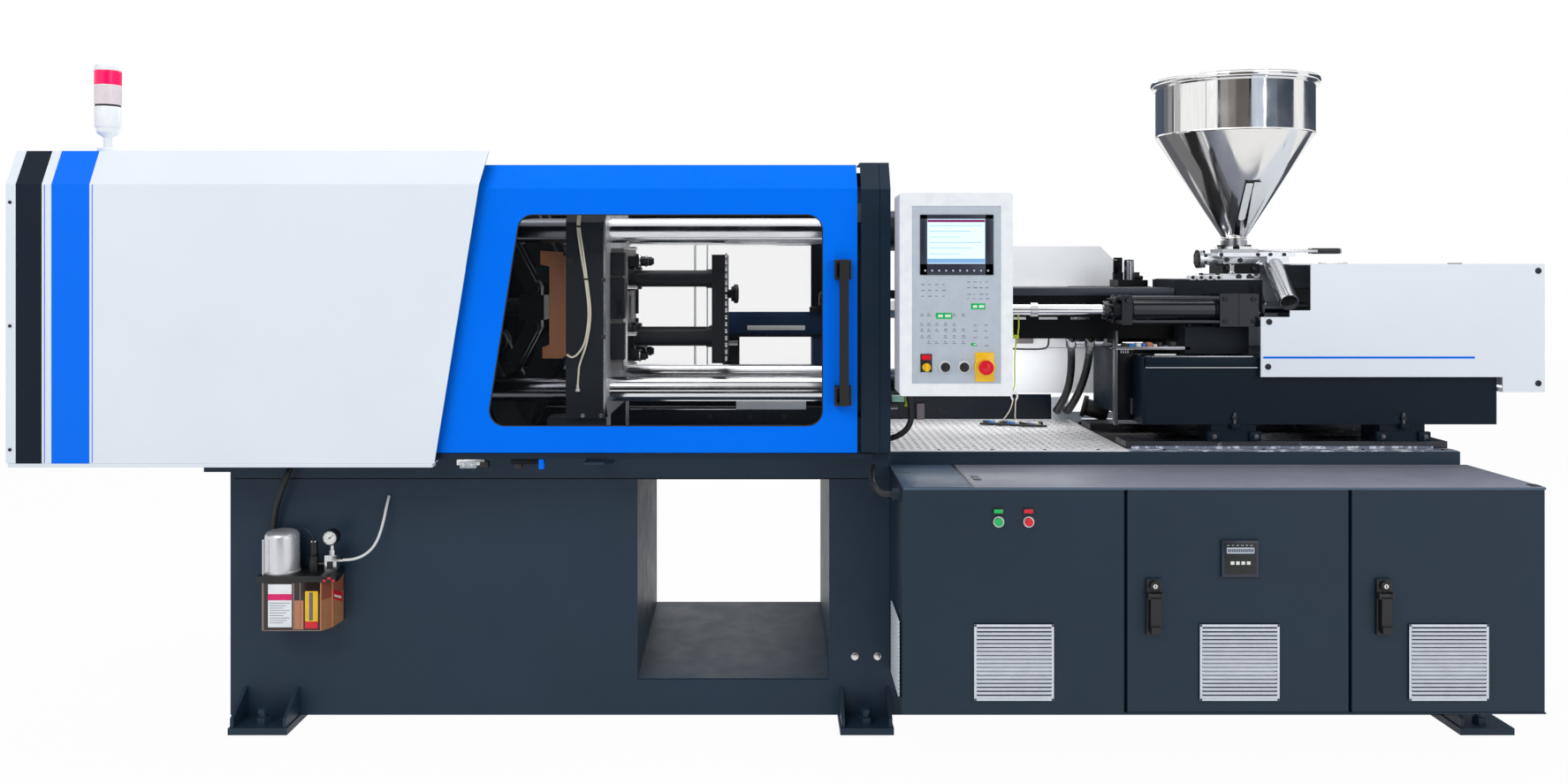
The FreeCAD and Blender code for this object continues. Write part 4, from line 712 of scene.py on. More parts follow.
# ---- deck --------------------------------------------------------------------------------------------------
def checker_tread():
    """Raised lozenges of the checkered deck, turned alternately."""
    kit = Kit("deck_tread", "machine", "deck_aluminium")
    low, high = Vector((0.28, -0.308)), Vector((0.985, 0.425))
    top, pitch = 0.815, 0.0245
    for i in range(int((high.x - low.x) / pitch)):
        for j in range(int((high.y - low.y) / pitch)):
            x, y = low.x + (i + 0.5) * pitch, low.y + (j + 0.5) * pitch
            along = math.radians(45 if (i + j) % 2 else -45)
            c, s = math.cos(along), math.sin(along)
            lozenge = [(a * c - b * s, a * s + b * c)
                       for a, b in ((-0.0115, 0), (0, -0.0028), (0.0115, 0), (0, 0.0028))]
            lower = kit.corners((x + a, y + b, top - 0.0003) for a, b in lozenge)
            upper = kit.corners((x + a * 0.55, y + b * 0.55, top + 0.0016) for a, b in lozenge)
            kit.mesh.faces.new(upper)
            kit.mesh.faces.new(lower[::-1])
            kit.strip(lower, upper)
            # The lozenges' grey is painted shade of their sides.
            kit.finish(lower + upper, "tread")
    kit.done(smooth_angle=10)


# ---- lubricator --------------------------------------------------------------------------------------------
def lubricator():
    """Central lubricator: clear tank with its oil, label and level bars, head plate, can, plug and gauge."""
    front = -0.32
    kit = Kit("lubricator_unit", "machine", "lubricator_mix")
    y0, y1 = front - 0.118, front - 0.006
    kit.prism([(x, y, 0.307) for x, y in ((-1.57, y0), (-1.399, y0), (-1.399, y1), (-1.57, y1))],
              (0, 0, 0.143), "smoky", 0.003)
    for low, high, material in ((0.307, 0.396, "oil"), (0.396, 0.45, "oil_film")):
        kit.prism([(x, y, low) for x, y in ((-1.397, y0), (-1.377, front - 0.08), (-1.37, y1), (-1.397, y1))],
                  (0, 0, high - low), material)
    for x, y in ((-1.377, front - 0.0805), (-1.3975, y0)):
        kit.tube([(x, y, 0.309), (x, y, 0.448)], 0.0022, "brown", sides=8)
    # Level bars, label and painted highlights (light strips along the tank's edges and foot) on the tank's
    # front: from x, from z, to x, to z, how far it stands out.
    for x0, z0, x1, z1, out, material, bevel in (
            (-1.474, 0.312, -1.448, 0.396, 0.0008, "brown", 0),
            (-1.569, 0.309, -1.563, 0.447, 0.001, "painted_rim_highlight", 0.0004),
            (-1.479, 0.309, -1.4745, 0.447, 0.001, "painted_rim_highlight", 0.0004),
            (-1.459, 0.309, -1.456, 0.447, 0.001, "painted_rim_highlight", 0.0004),
            (-1.566, 0.3075, -1.4, 0.31, 0.0012, "painted_rim_highlight", 0),
            (-1.551, 0.318, -1.482, 0.443, 0.0014, "grey_plastic", 0.0005),
            (-1.443, 0.335, -1.406, 0.423, 0.0016, "yellow", 0.0006),
            (-1.443, 0.315, -1.406, 0.335, 0.002, "red", 0.0006)):
        kit.box((x0, y0 - out, z0), (x1, y0 + 0.001, z1), material, bevel)
    kit.box((-1.551, y0 - 0.002, 0.397), (-1.482, y0 - 0.001, 0.415), "magenta")
    kit.box((-1.431, y0 - 0.0022, 0.338), (-1.42, y0 - 0.0012, 0.42), "stone")
    for k in range(9):
        z = 0.388 - k * 0.0072
        kit.box((-1.546, y0 - 0.0018, z), (-1.488 - (k % 3) * 0.009, y0 - 0.0012, z + 0.0012), "ink")
    x0, x1, deep0, deep1 = -1.3772, -1.3706, front - 0.0812, front - 0.015
    kit.prism([(x0, deep0, 0.392), (x1, deep1, 0.366), (x1, deep1, 0.392), (x0, deep0, 0.418)],
              (0.0012, -0.0001, 0), "red")
    x0, x1, deep0, deep1 = -1.3759, -1.3716, front - 0.07, front - 0.025
    kit.prism([(x0, deep0, 0.394), (x1, deep1, 0.377), (x1, deep1, 0.384), (x0, deep0, 0.401)],
              (0.0018, -0.0001, 0), "white_plastic")
    kit.prism([(x, front - deep, 0.45) for x, deep in (
        (-1.584, 0.124), (-1.352, 0.124), (-1.352, 0.095), (-1.368, 0), (-1.584, 0))],
        (0, 0, 0.018), "black", 0.002)
    for x, z in ((-1.39, 0.455), (-1.376, 0.462), (-1.364, 0.455)):
        kit.box((x, front - 0.1252, z - 0.003), (x + 0.009, front - 0.1235, z + 0.003), "red")
    kit.lathe((-1.532, front - 0.062, 0.467), UP, [
        (0, 0), (0.052, 0), (0.052, 0.005), (0.0495, 0.008), (0.0495, 0.104), (0.0478, 0.112), (0.043, 0.118),
        (0.034, 0.1215), (0.018, 0.1228), (0, 0.123)], "can_steel", sides=64)
    kit.rod((-1.568, front - 0.112, 0.467), (-1.568, front - 0.112, 0.572), 0.0026, "steel", sides=16)
    x, y = -1.438, front - 0.06
    kit.lathe((x, y, 0.467), UP, [
        (0, 0), (0.015, 0), (0.015, 0.03), (0.0135, 0.032), (0.0135, 0.046), (0.015, 0.048), (0.011, 0.052),
        (0.011, 0.082), (0.0095, 0.087), (0, 0.09)], "black", sides=24)
    for pin in (x - 0.005, x + 0.005):
        kit.rod((pin, y - 0.0065, 0.554), (pin, y - 0.0065, 0.5575), 0.0022, "white_plastic", sides=12)
    kit.tube(smooth_curve([(x, y + 0.002, 0.555), (-1.448, y + 0.006, 0.574), (-1.466, y + 0.01, 0.588),
                           (-1.486, y + 0.014, 0.59), (-1.5, y + 0.018, 0.583)]), 0.002, "black", sides=8)
    x, y, z = -1.384, front - 0.061, 0.57
    kit.box((-1.402, y - 0.017, 0.467), (-1.366, y + 0.017, 0.5175), "steel", 0.002)
    kit.box((-1.394, y - 0.0178, 0.478), (-1.376, y - 0.0165, 0.5), "black")
    kit.rod((-1.366, y, 0.5), (-1.352, y, 0.5), 0.0062, "steel", sides=6)
    kit.rod((-1.423, y, 0.489), (-1.402, y, 0.489), 0.0065, "black", sides=16)
    kit.rod((x, y, 0.517), (x, y, 0.53), 0.0085, "zinc", sides=6)
    kit.rod((x, y, 0.529), (x, y, 0.548), 0.006, "steel", sides=16)
    kit.turned((x, front - 0.052, z), FRONT, [(0.022, 0), (0.0235, 0.004), (0.0235, 0.03), (0.0225, 0.0335),
                                              (0.0198, 0.0335), (0.0198, 0.0305)], "black")
    kit.turned((x, front - 0.0823, z), FRONT, [(0.0197, 0), (0.0197, 0.0006)], "white_plastic")
    y = front - 0.0831
    for k in range(9):
        a = math.radians(-45 + 270 / 8 * k)
        kit.rod((x + 0.0145 * math.cos(a), y, z + 0.0145 * math.sin(a)),
                (x + 0.0185 * math.cos(a), y, z + 0.0185 * math.sin(a)), 0.0005, "ink", sides=6)
    kit.rod((x - 0.006, y - 0.0003, z - 0.004), (x + 0.012, y - 0.0003, z + 0.01), 0.0007, "ink", sides=6)
    kit.rod((x, y - 0.0004, z), (x, y - 0.0019, z), 0.0024, "ink", sides=16)
    kit.done(replaces=["lubricator"])


# ---- signal light ------------------------------------------------------------------------------------------
def signal_light():
    """Signal column: foot, stem, ringed clear and red lenses, cap."""
    x, y = -2.016, -0.44
    kit = Kit("signal_column", "machine", "signal_plastic")
    kit.box((x - 0.022, y - 0.022, 1.7002), (x + 0.022, y + 0.022, 1.712), "grey_plastic", 0.003)
    kit.turned((x, y, 1.711), UP, [
        (0.012, 0), (0.012, 0.03), (0.014, 0.034), (0.024, 0.04), (0.03, 0.046), (0.031, 0.058),
        (0.0345, 0.062), (0.0355, 0.068), (0.0355, 0.118), (0.034, 0.121)], "grey_plastic")
    kit.turned((x, y, 1.8325), UP, [(0.0345, 0), (0.0345, 0.003)], "black")
    for foot, rings, first, radius, end, material in (
            (1.834, 7, 0.0035, 0.0358, (0.0355, 0.0605), "lens_clear"),
            (1.8945, 5, 0.0005, 0.036, (0.0358, 0.0415), "lens_red")):
        profile = [(0, 0)]
        for k in range(rings):
            profile += [(radius, first + k * 0.008), (radius + 0.0008, first + k * 0.008 + 0.004)]
        kit.lathe((x, y, foot), UP, [*profile, end, (0, end[1])], material)
    kit.lathe((x, y, 1.936), UP, [(0, 0), (0.0362, 0), (0.0362, 0.012), (0.033, 0.017), (0.025, 0.0193),
                                  (0, 0.0198)], "grey_plastic")
    kit.done(replaces=["signal_light"])


# ---- cords -------------------------------------------------------------------------------------------------
LUBE_TUBE_ROUTE = [(-1.366, -0.381, 0.5), (-1.34, -0.381, 0.5), (-1.314, -0.38, 0.504), (-1.29, -0.377, 0.514),
        (-1.27, -0.372, 0.531), (-1.256, -0.367, 0.554), (-1.247, -0.362, 0.581), (-1.241, -0.356, 0.609),
        (-1.237, -0.349, 0.636), (-1.235, -0.338, 0.66), (-1.234, -0.324, 0.679)]
LEFT_HOSE_ROUTE = [(0.932, 0.158, 1.15), (0.932, 0.158, 1.102), (0.936, 0.168, 1.056), (0.938, 0.184, 1.01),
        (0.938, 0.208, 0.966), (0.935, 0.238, 0.928), (0.93, 0.275, 0.897), (0.928, 0.316, 0.873),
        (0.932, 0.357, 0.857), (0.942, 0.392, 0.85), (0.945, 0.4295, 0.85)]
RIGHT_HOSE_ROUTE = [(0.996, 0.158, 1.15), (0.996, 0.157, 1.102), (0.992, 0.159, 1.056), (0.986, 0.171, 1.01),
        (0.978, 0.191, 0.966), (0.97, 0.218, 0.928), (0.964, 0.254, 0.897), (0.963, 0.297, 0.873),
        (0.967, 0.343, 0.857), (0.976, 0.388, 0.85), (0.979, 0.4295, 0.85)]
LUBE_CABLE_ROUTE = [(-1.574, -0.338, 0.4683), (-1.5745, -0.338, 0.507), (-1.574, -0.3385, 0.553),
        (-1.573, -0.34, 0.6), (-1.564, -0.349, 0.645), (-1.55, -0.357, 0.685), (-1.536, -0.361, 0.719),
        (-1.527, -0.36, 0.746), (-1.521, -0.354, 0.765), (-1.5185, -0.3385, 0.775), (-1.518, -0.321, 0.776)]
PANEL_CABLE_ROUTE = [(0.3, -0.474, 1.2395), (0.301, -0.4735, 1.165), (0.304, -0.471, 1.085),
        (0.308, -0.467, 1.013), (0.317, -0.462, 0.965), (0.32, -0.458, 0.928), (0.309, -0.454, 0.898),
        (0.285, -0.45, 0.878), (0.257, -0.441, 0.867), (0.236, -0.425, 0.863), (0.22, -0.396, 0.861),
        (0.2165, -0.348, 0.862), (0.216, -0.3005, 0.864)]
CONDUIT_ROUTE = [(0.246, -0.64, 0.742), (0.226, -0.64, 0.742), (0.209, -0.632, 0.748), (0.198, -0.614, 0.758),
        (0.194, -0.59, 0.768), (0.196, -0.564, 0.777), (0.2, -0.538, 0.786), (0.205, -0.514, 0.797)]


def cord_curve(name, points, radius, material):
    """A round cord along a smooth spline through chosen points."""
    curve = bpy.data.curves.new(name, "CURVE")
    curve.dimensions = "3D"
    curve.resolution_u = 8
    curve.bevel_depth = radius
    curve.bevel_resolution = 6
    curve.use_fill_caps = True
    spline = curve.splines.new("NURBS")
    spline.points.add(len(points) - 1)
    for point, place in zip(spline.points, points):
        point.co = (*place, 1.0)
    spline.order_u = 3
    spline.use_endpoint_u = True
    curve.materials.append(material)
    cord = bpy.data.objects.new(name, curve)
    bpy.context.scene.collection.objects.link(cord)
    return cord


def cords():
    """The six cords of the model, each in place of its CAD solid."""
    for name, stands_for, route, radius, length, stiffness, material, body, slot in (
            ("lubricator_feed_tube", "lubricator_tube", LUBE_TUBE_ROUTE, 0.004, 0.268, "stiff", "white_plastic",
             "machine", "tube_white"),
            ("hydraulic_hose_left", "carriage_hose_left", LEFT_HOSE_ROUTE, 0.013, 0.461, "stiff", "ribbed",
             "carriage", "hose_rubber"),
            ("hydraulic_hose_right", "carriage_hose_right", RIGHT_HOSE_ROUTE, 0.013, 0.461, "stiff", "ribbed",
             "carriage", "hose_rubber"),
            ("cabinet_feed_conduit", "cabinet_conduit", CONDUIT_ROUTE, 0.009, 0.170, "stiff", "ribbed",
             "machine", "hose_rubber"),
            ("lubricator_supply_cable", "lubricator_cable", LUBE_CABLE_ROUTE, 0.0085, 0.343, "medium", "rubber",
             "machine", "hose_rubber"),
            ("control_panel_cable", "panel_cable", PANEL_CABLE_ROUTE, 0.0085, 0.561, "limp", "rubber",
             "machine", "hose_rubber")):
        cord = cord_curve(name, route, radius, M[material])
        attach(cord, body)
        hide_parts(stands_for)


# ---- mould space -------------------------------------------------------------------------------------------
def mould_space():
    """What the window shows on the moving platen: ground edge, mould blocks, clamps, screws and bracket."""
    kit = Kit("platen_trim", "platen", "dark_casting")
    kit.box((-0.5895, -0.3262, 0.912), (-0.5838, -0.324, 1.558), "steel")
    kit.box((-0.703, -0.3275, 0.912), (-0.59, -0.3245, 1.061), "casting", 0.001)
    for x in (-0.652, -0.598):
        kit.screw((x, -0.3275, 0.9205), FRONT, 0.012, 0.005, "zinc")
    kit.box((-0.703, -0.3265, 1.412), (-0.59, -0.3245, 1.415), "black_paint")
    for z in (1.15, 1.322):
        kit.box((-0.596, -0.333, z), (-0.584, -0.3245, z + 0.012), "black", 0.002)
    for x, z in ((-0.69, 1.545), (-0.606, 1.545), (-0.69, 1.105), (-0.69, 1.385)):
        kit.screw((x, -0.325, z), FRONT, 0.014, 0.006)
    kit.done()
    blocks = Kit("mould_base_blocks", "platen", "toggle_iron")
    for low, high in ((1.341, 1.411), (1.206, 1.333), (1.079, 1.191)):
        for y0, y1 in ((-0.212, -0.1905), (0.1905, 0.212)):
            blocks.box((-0.5838, y0, low), (-0.54, y1, high), "oiled", 0.002)
    blocks.box((-0.566, -0.2145, 1.215), (-0.546, -0.2115, 1.271), "black_paint", 0.001)
    for z in (1.062, 1.157, 1.303, 1.425):
        blocks.box((-0.547, -0.186, z - 0.005), (-0.5065, -0.15, z + 0.005), "zinc", 0.001)
    blocks.box((-0.547, -0.1885, 1.06), (-0.533, -0.187, 1.412), "steel", 0.0004)
    for y in (-0.1, 0.1):
        for z, z_clamp in ((1.141, 1.085), (1.329, 1.385)):
            blocks.turned((-0.505, y, z_clamp), RIGHT, [(0.02, 0), (0.02, 0.004), (0.012, 0.006)], "steel")
            blocks.bolt((-0.5, y, z_clamp), RIGHT, 0.026, 0.016)
            blocks.turned((-0.547, y, z), RIGHT, [(0.041, 0), (0.041, 0.012), (0.038, 0.016)], "oiled")
            blocks.turned((-0.292, y, z), RIGHT, [(0.03, 0), (0.03, 0.018)], "oiled")
    for k in range(16):
        z = 1.073 + k * 0.0216
        blocks.box((-0.23, -0.1712, z), (-0.2235, -0.16, z + 0.0125), "zinc", 0.001)
    blocks.turned((-0.206, -0.06, 1.28), RIGHT, [(0.03, 0), (0.032, 0.004), (0.032, 0.01), (0.03, 0.014),
                                                 (0.018, 0.016)], "black_screw", sides=10)
    blocks.done()
    plate = Kit("brown_bracket", "platen", "tank_paint")
    plate.prism([(x, -0.2195, z) for x, z in (
        (-0.799, 1.4165), (-0.7285, 1.412), (-0.7285, 1.084), (-0.793, 1.084), (-0.793, 1.118), (-0.77, 1.126),
        (-0.77, 1.368), (-0.799, 1.374))], (0, 0.006, 0), "brown", 0.001)
    plate.box((-0.7285, -0.2195, 1.09), (-0.7027, -0.2135, 1.4), "brown")
    plate.turned((-0.77, -0.206, 1.346), RIGHT, [(0.009, 0), (0.009, 0.04)], "zinc", sides=16)
    for k in range(7):
        plate.lathe((-0.766 + k * 0.0055, -0.206, 1.346), RIGHT,
                    [(0.0085, 0), (0.0108, 0.0012), (0.0108, 0.0024), (0.0085, 0.0036)], "zinc", sides=16)
    plate.done()


def window_background():
    """Far side seen through the window: a navy cross beam with a lit strip, trim, and the rear gate's edge."""
    kit = Kit("rear_cross_beam", "machine", "bed_paint")
    kit.box((-0.236, 0.352, 1.122), (0.121, 0.38, 1.206), "navy", 0.002)
    kit.box((0.06, 0.352, 0.98), (0.121, 0.38, 1.124), "navy", 0.002)
    kit.box((-0.17, 0.3445, 1.142), (0.035, 0.3522, 1.158), "white_plastic", 0.001)
    kit.box((-0.236, 0.34, 1.118), (0.121, 0.3525, 1.126), "black_paint", 0.001)
    kit.box((0.083, 0.33, 0.9115), (0.121, 0.372, 0.982), "black_paint", 0.002)
    kit.box((-0.258, 0.345, 1.01), (-0.198, 0.38, 1.125), "black_paint", 0.002)
    kit.box((-0.252, 0.34, 1.088), (-0.204, 0.3455, 1.104), "zinc", 0.001)
    kit.turned((0.084, 0.33, 1.25), RIGHT, [(0.022, 0), (0.03, 0.01), (0.03, 0.037)], "black_paint", sides=24)
    kit.box((0.05, 0.318, 1.205), (0.121, 0.345, 1.225), "black_paint", 0.002)
    kit.done()
    seam = Kit("bed_seam", "machine", "bed_paint")
    seam.box((-1.7, -0.3206, 0.729), (0.23, -0.3198, 0.731), "black_paint")
    seam.done()
    lower = Kit("guard_floor_trim", "machine", "bed_paint")
    lower.box((-1.15, 0.306, 0.8112), (0.119, 0.336, 0.874), "casting", 0.002)
    # Painted highlight: a thin steel strip along the trim's top front edge.
    lower.box((-0.58, 0.3045, 0.864), (-0.208, 0.337, 0.869), "steel", 0.0005)
    lower.box((-0.208, 0.304, 0.8655), (0.037, 0.3058, 0.8975), "white", 0.0005)
    for x in (-0.3, -0.16, -0.04, 0.07):
        lower.screw((x, 0.306, 0.838), FRONT, 0.014, 0.003)
    lower.done()
    sheet = Kit("rear_gate_edge", "gate_rear", "window")
    for low, high in ((-0.368, -0.36), (-0.322, -0.316)):
        sheet.box((low, 0.4955, 0.93), (high, 0.5018, 1.5), "clear_edge")
    sheet.done()


def harness():
    """White wires on the moving platen, clipped along its front."""
    kit = Kit("platen_wires", "platen", "tube_white")
    for route in (
            [(-0.662, -0.33, 1.54), (-0.667, -0.331, 1.49), (-0.658, -0.3315, 1.415), (-0.644, -0.331, 1.33),
             (-0.634, -0.3315, 1.23), (-0.643, -0.332, 1.15), (-0.661, -0.332, 1.112), (-0.682, -0.331, 1.096),
             (-0.699, -0.33, 1.104)],
            [(-0.656, -0.33, 1.54), (-0.661, -0.331, 1.488), (-0.651, -0.332, 1.418), (-0.638, -0.331, 1.326),
             (-0.628, -0.3315, 1.226), (-0.639, -0.333, 1.14), (-0.66, -0.333, 1.074), (-0.664, -0.332, 1.04),
             (-0.6665, -0.331, 1.008)]):
        kit.tube(smooth_curve(route), 0.003, "wire_white")
    for x, z in ((-0.664, 1.488), (-0.641, 1.33)):
        kit.box((x - 0.009, -0.3345, z - 0.003), (x + 0.009, -0.3245, z + 0.003), "black", 0.001)
    kit.turned((-0.6665, -0.331, 1.012), DOWN, [(0.006, 0), (0.006, 0.009), (0.009, 0.01), (0.009, 0.018)],
               "zinc", sides=16)
    kit.box((-0.672, -0.3335, 0.994), (-0.661, -0.3245, 1.004), "zinc", 0.001)
    kit.done()


# ---- covers and gates --------------------------------------------------------------------------------------
def gate_trim():
    """Latch and runner under the gate, end cups of the handle, rubber of the window."""
    kit = Kit("gate_switch", "machine", "bed_paint")
    kit.box((-0.985, -0.508, 0.8005), (-0.905, -0.49, 0.817), "zinc", 0.002)
    kit.box((-0.975, -0.514, 0.7925), (-0.928, -0.494, 0.813), "clear_edge", 0.002)
    kit.box((-0.918, -0.512, 0.7945), (-0.893, -0.492, 0.811), "black", 0.002)
    for x in (-0.963, -0.94):
        kit.rod((x, -0.5142, 0.803), (x, -0.5172, 0.803), 0.0045, "zinc", sides=12)
    kit.done()
    bracket = Kit("gate_runner_bracket", "machine", "bed_paint")
    bracket.box((-0.832, -0.5, 0.802), (-0.745, -0.48, 0.8175), "black_paint", 0.002)
    bracket.box((-0.752, -0.502, 0.788), (-0.737, -0.478, 0.8175), "blue", 0.002)
    bracket.box((-0.82, -0.498, 0.79), (-0.8, -0.484, 0.803), "black", 0.002)
    bracket.done()
    cup = Kit("gate_handle_cups", "gate_front", "black_plastic")
    for low, high, ledge in ((0.976, 1.03, 0.976), (1.331, 1.385, 1.385)):
        for x in (0.0935, 0.1355):
            cup.box((x, -0.545, low), (x + 0.004, -0.51, high), "black", 0.0012)
        cup.box((0.0935, -0.5455, ledge - 0.003), (0.1395, -0.51, ledge + 0.003), "black", 0.0012)
    cup.done()
    rim = Kit("window_rubber", "gate_front", "black_plastic")
    right, low, high = 0.061, 0.912, 1.517
    slope = 0.076 / 0.486
    left_low, left_high = -0.892 - (0.962 - low) * slope, -0.816 + (high - 1.448) * slope
    outer = rounded_loop([(left_low, low), (right, low), (right, high), (left_high, high)], 0.045, 10)
    inner = rounded_loop([(left_low + 0.004, low + 0.003), (right - 0.003, low + 0.003),
                          (right - 0.003, high - 0.003), (left_high + 0.003, high - 0.003)], 0.042, 10)
    rim.ring_prism(outer, inner, -0.5104, -0.5066, "black")
    rim.done()


def rounded_loop(corners, radius, steps):
    """Corner points of a polygon of (x, z), rounded with arcs."""
    result = []
    count = len(corners)
    for k in range(count):
        before, here, after = Vector(corners[k - 1]), Vector(corners[k]), Vector(corners[(k + 1) % count])
        way_in, way_out = (here - before).normalized(), (after - here).normalized()
        half = way_in.angle(way_out) / 2
        reach = radius * math.tan(half)
        start, end = here - way_in * reach, here + way_out * reach
        centre = here + (way_out - way_in).normalized() * (radius / math.cos(half))
        for step in range(steps + 1):
            t = step / steps
            a, b = start - centre, end - centre
            mixed = a * math.sin((1 - t) * 2 * half) + b * math.sin(t * 2 * half)
            result.append(centre + mixed / math.sin(2 * half))
    return result


def cover_trim():
    """Thin blue lines beside the stripe, screws and white lower lip of the front clamp cover."""
    kit = Kit("clamp_cover_trim", "machine", "cover_paint")
    for x in (-2.143, -2.008):
        kit.box((x, -0.5408, 0.8125), (x + 0.0018, -0.5398, 1.6), "blue")
    for z in (0.85, 1.2, 1.55):
        kit.screw((-2.2395, -0.54, z), FRONT, 0.0095, 0.0025)
    kit.box((-2.247, -0.539, 0.7995), (-1.045, -0.504, 0.8108), "white", 0.001)
    kit.done()


# ---- injection side ----------------------------------------------------------------------------------------
def carriage_details():
    """Ledge and plates of the carriage, its shoes with their bolts, and the frame at its nozzle end."""
    kit = Kit("carriage_trim", "carriage", "dark_casting")
    kit.box((1.0445, -0.2845, 1.062), (1.392, -0.2795, 1.0912), "carriage", 0.0015)
    # Painted highlight: a thin steel strip along the lower edge of the ledge.
    kit.box((1.05, -0.2858, 1.06), (1.39, -0.284, 1.0622), "steel")
    kit.box((1.0405, -0.2845, 0.8875), (1.051, 0.2845, 1.0915), "carriage", 0.0015)
    kit.box((1.06, -0.27, 1.0908), (1.193, -0.12, 1.0935), "steel", 0.0006)
    kit.box((1.07, -0.279, 1.091), (1.38, -0.255, 1.096), "aluminium", 0.0006)
    kit.box((1.085, -0.26, 1.0962), (1.15, -0.256, 1.101), "white_plastic", 0.0006)
    for low, high in ((1.253, 1.388), (1.765, 1.902)):
        middle = (low + high) / 2
        for x in (low - 0.014, high - 0.022):
            kit.box((x, -0.285, 0.837), (x + 0.036, -0.27, 0.866), "carriage", 0.002)
        for x in (low + 0.004, high - 0.004):
            kit.bolt((x, -0.285, 0.8515), FRONT, 0.014, 0.007, "grey_steel")
        kit.rod((middle, -0.283, 0.89), (middle, -0.283, 0.924), 0.0055, "grey_steel", sides=16)
        kit.bolt((middle, -0.283, 0.905), UP, 0.017, 0.008)
        kit.box((middle - 0.012, -0.295, 0.875), (middle + 0.012, -0.2745, 0.8905), "carriage", 0.001)
    kit.done()
    guard = Kit("carriage_end_frame", "carriage", "guard_sheet")
    guard.box((0.98, -0.206, 0.875), (0.988, -0.175, 1.169), "grey_steel", 0.001)
    guard.box((0.428, -0.1345, 1.276), (1.186, -0.1303, 1.2995), "slate", 0.001)
    guard.box((0.988, -0.19, 0.89), (1.041, -0.15, 1.12), "black_paint", 0.001)
    guard.box((1.029, -0.201, 0.908), (1.04, -0.189, 0.96), "grey_steel", 0.001)
    for x in (1.001, 1.008, 1.015, 1.022):
        guard.box((x, -0.1912, 1.098), (x + 0.003, -0.1898, 1.108), "white_plastic")
    guard.box((0.98, -0.213, 1.11), (1.21, -0.13, 1.113), "aluminium", 0.0006)
    guard.box((0.98, -0.215, 1.11), (1.21, -0.213, 1.12), "aluminium", 0.0004)
    chooser = random.Random(11)
    x = 1.005
    for material in ("black", "blue_plastic", "white_plastic", "blue_plastic", "brown", "white_plastic",
                     "black", "grey_steel", "black"):
        wide = 0.01 + 0.01 * chooser.random()
        high = 0.01 + 0.012 * chooser.random()
        guard.box((x, -0.205, 1.1128), (x + wide, -0.175, 1.1128 + high), material, 0.0012)
        x += wide + 0.0035
    guard.rod((1.215, -0.198, 1.118), (1.219, -0.198, 1.156), 0.0055, "white_plastic", sides=12)
    guard.turned((1.219, -0.198, 1.156), UP, [(0.0085, 0), (0.0085, 0.01), (0.006, 0.012)], "zinc", sides=16)
    guard.done()


def hose_fittings():
    """Collars and elbows where the hoses leave the manifold, and their nuts."""
    kit = Kit("hose_fittings", "carriage", "dark_casting")
    for (x, y, z), material in ((LEFT_HOSE_ROUTE[0], "grey_steel"), (RIGHT_HOSE_ROUTE[0], "black")):
        kit.rod((x, y, z - 0.001), (x, y, z - 0.034), 0.02, material, sides=6, bevel=0.001)
        kit.turned((x, y, z - 0.033), DOWN, [(0.0175, 0), (0.0175, 0.02), (0.016, 0.024)], material, sides=32)
        kit.box((x + 0.012, y - 0.016, z - 0.046), (x + 0.044, y + 0.012, z - 0.018), "grey_steel", 0.004)
    kit.done()


def cylinder_details():
    """Glands, tie rods, screws and rod nuts of the carriage cylinders."""
    kit = Kit("carriage_cylinder_trim", "carriage", "cylinder_black")
    for side in (-1, 1):
        y = side * CYLINDER_Y
        kit.turned((0.9815, y, AXIS_Z), LEFT, [(0.04, 0), (0.04, 0.02), (0.037, 0.024)], "black_paint",
                   bore=0.0263)
        for across, rise in around(8, 0.033, 22.5):
            kit.screw((0.9575, y + across, AXIS_Z + rise), LEFT, 0.01, 0.007)
        for across, rise in ((-0.036, -0.036), (-0.036, 0.036), (0.036, -0.036), (0.036, 0.036)):
            kit.rod((0.9815, y + across, AXIS_Z + rise), (0.966, y + across, AXIS_Z + rise), 0.0062,
                    "black_screw", sides=16)
            kit.bolt((0.9812, y + across, AXIS_Z + rise), LEFT, 0.0175, 0.01)
        for x, way in ((1.013, RIGHT), (1.28, LEFT)):
            kit.lathe((x, y, AXIS_Z), way, [(0.032, 0), (0.0385, 0), (0.0385, 0.008), (0.032, 0.01)],
                      "black_paint")
        face = y + side * 0.044
        for x in (1.296, 1.382):
            for rise in (-0.034, 0.034):
                kit.screw((x, face, AXIS_Z + rise), (0, side, 0), 0.016, 0.004)
        low, high = sorted((face, face + side * 0.0016))
        kit.box((1.337, low, AXIS_Z - 0.05), (1.3395, high, AXIS_Z + 0.05), "black")
        kit.rod((1.0, face, AXIS_Z + 0.03), (1.0, face + side * 0.009, AXIS_Z + 0.03), 0.009, "black_screw",
                sides=6)
    kit.done()
    nut = Kit("carriage_rod_nuts", "machine", "bright_steel")
    for side in (-1, 1):
        y = side * CYLINDER_Y
        nut.turned((0.276, y, AXIS_Z), RIGHT, [(0.029, 0), (0.029, 0.018), (0.025, 0.02)], "steel", 6,
                   bore=0.0166)
        nut.lathe((0.71, y, AXIS_Z), RIGHT, [(0.0165, 0), (0.0215, 0.001), (0.0215, 0.023), (0.0165, 0.024)],
                  "steel")
    nut.done()


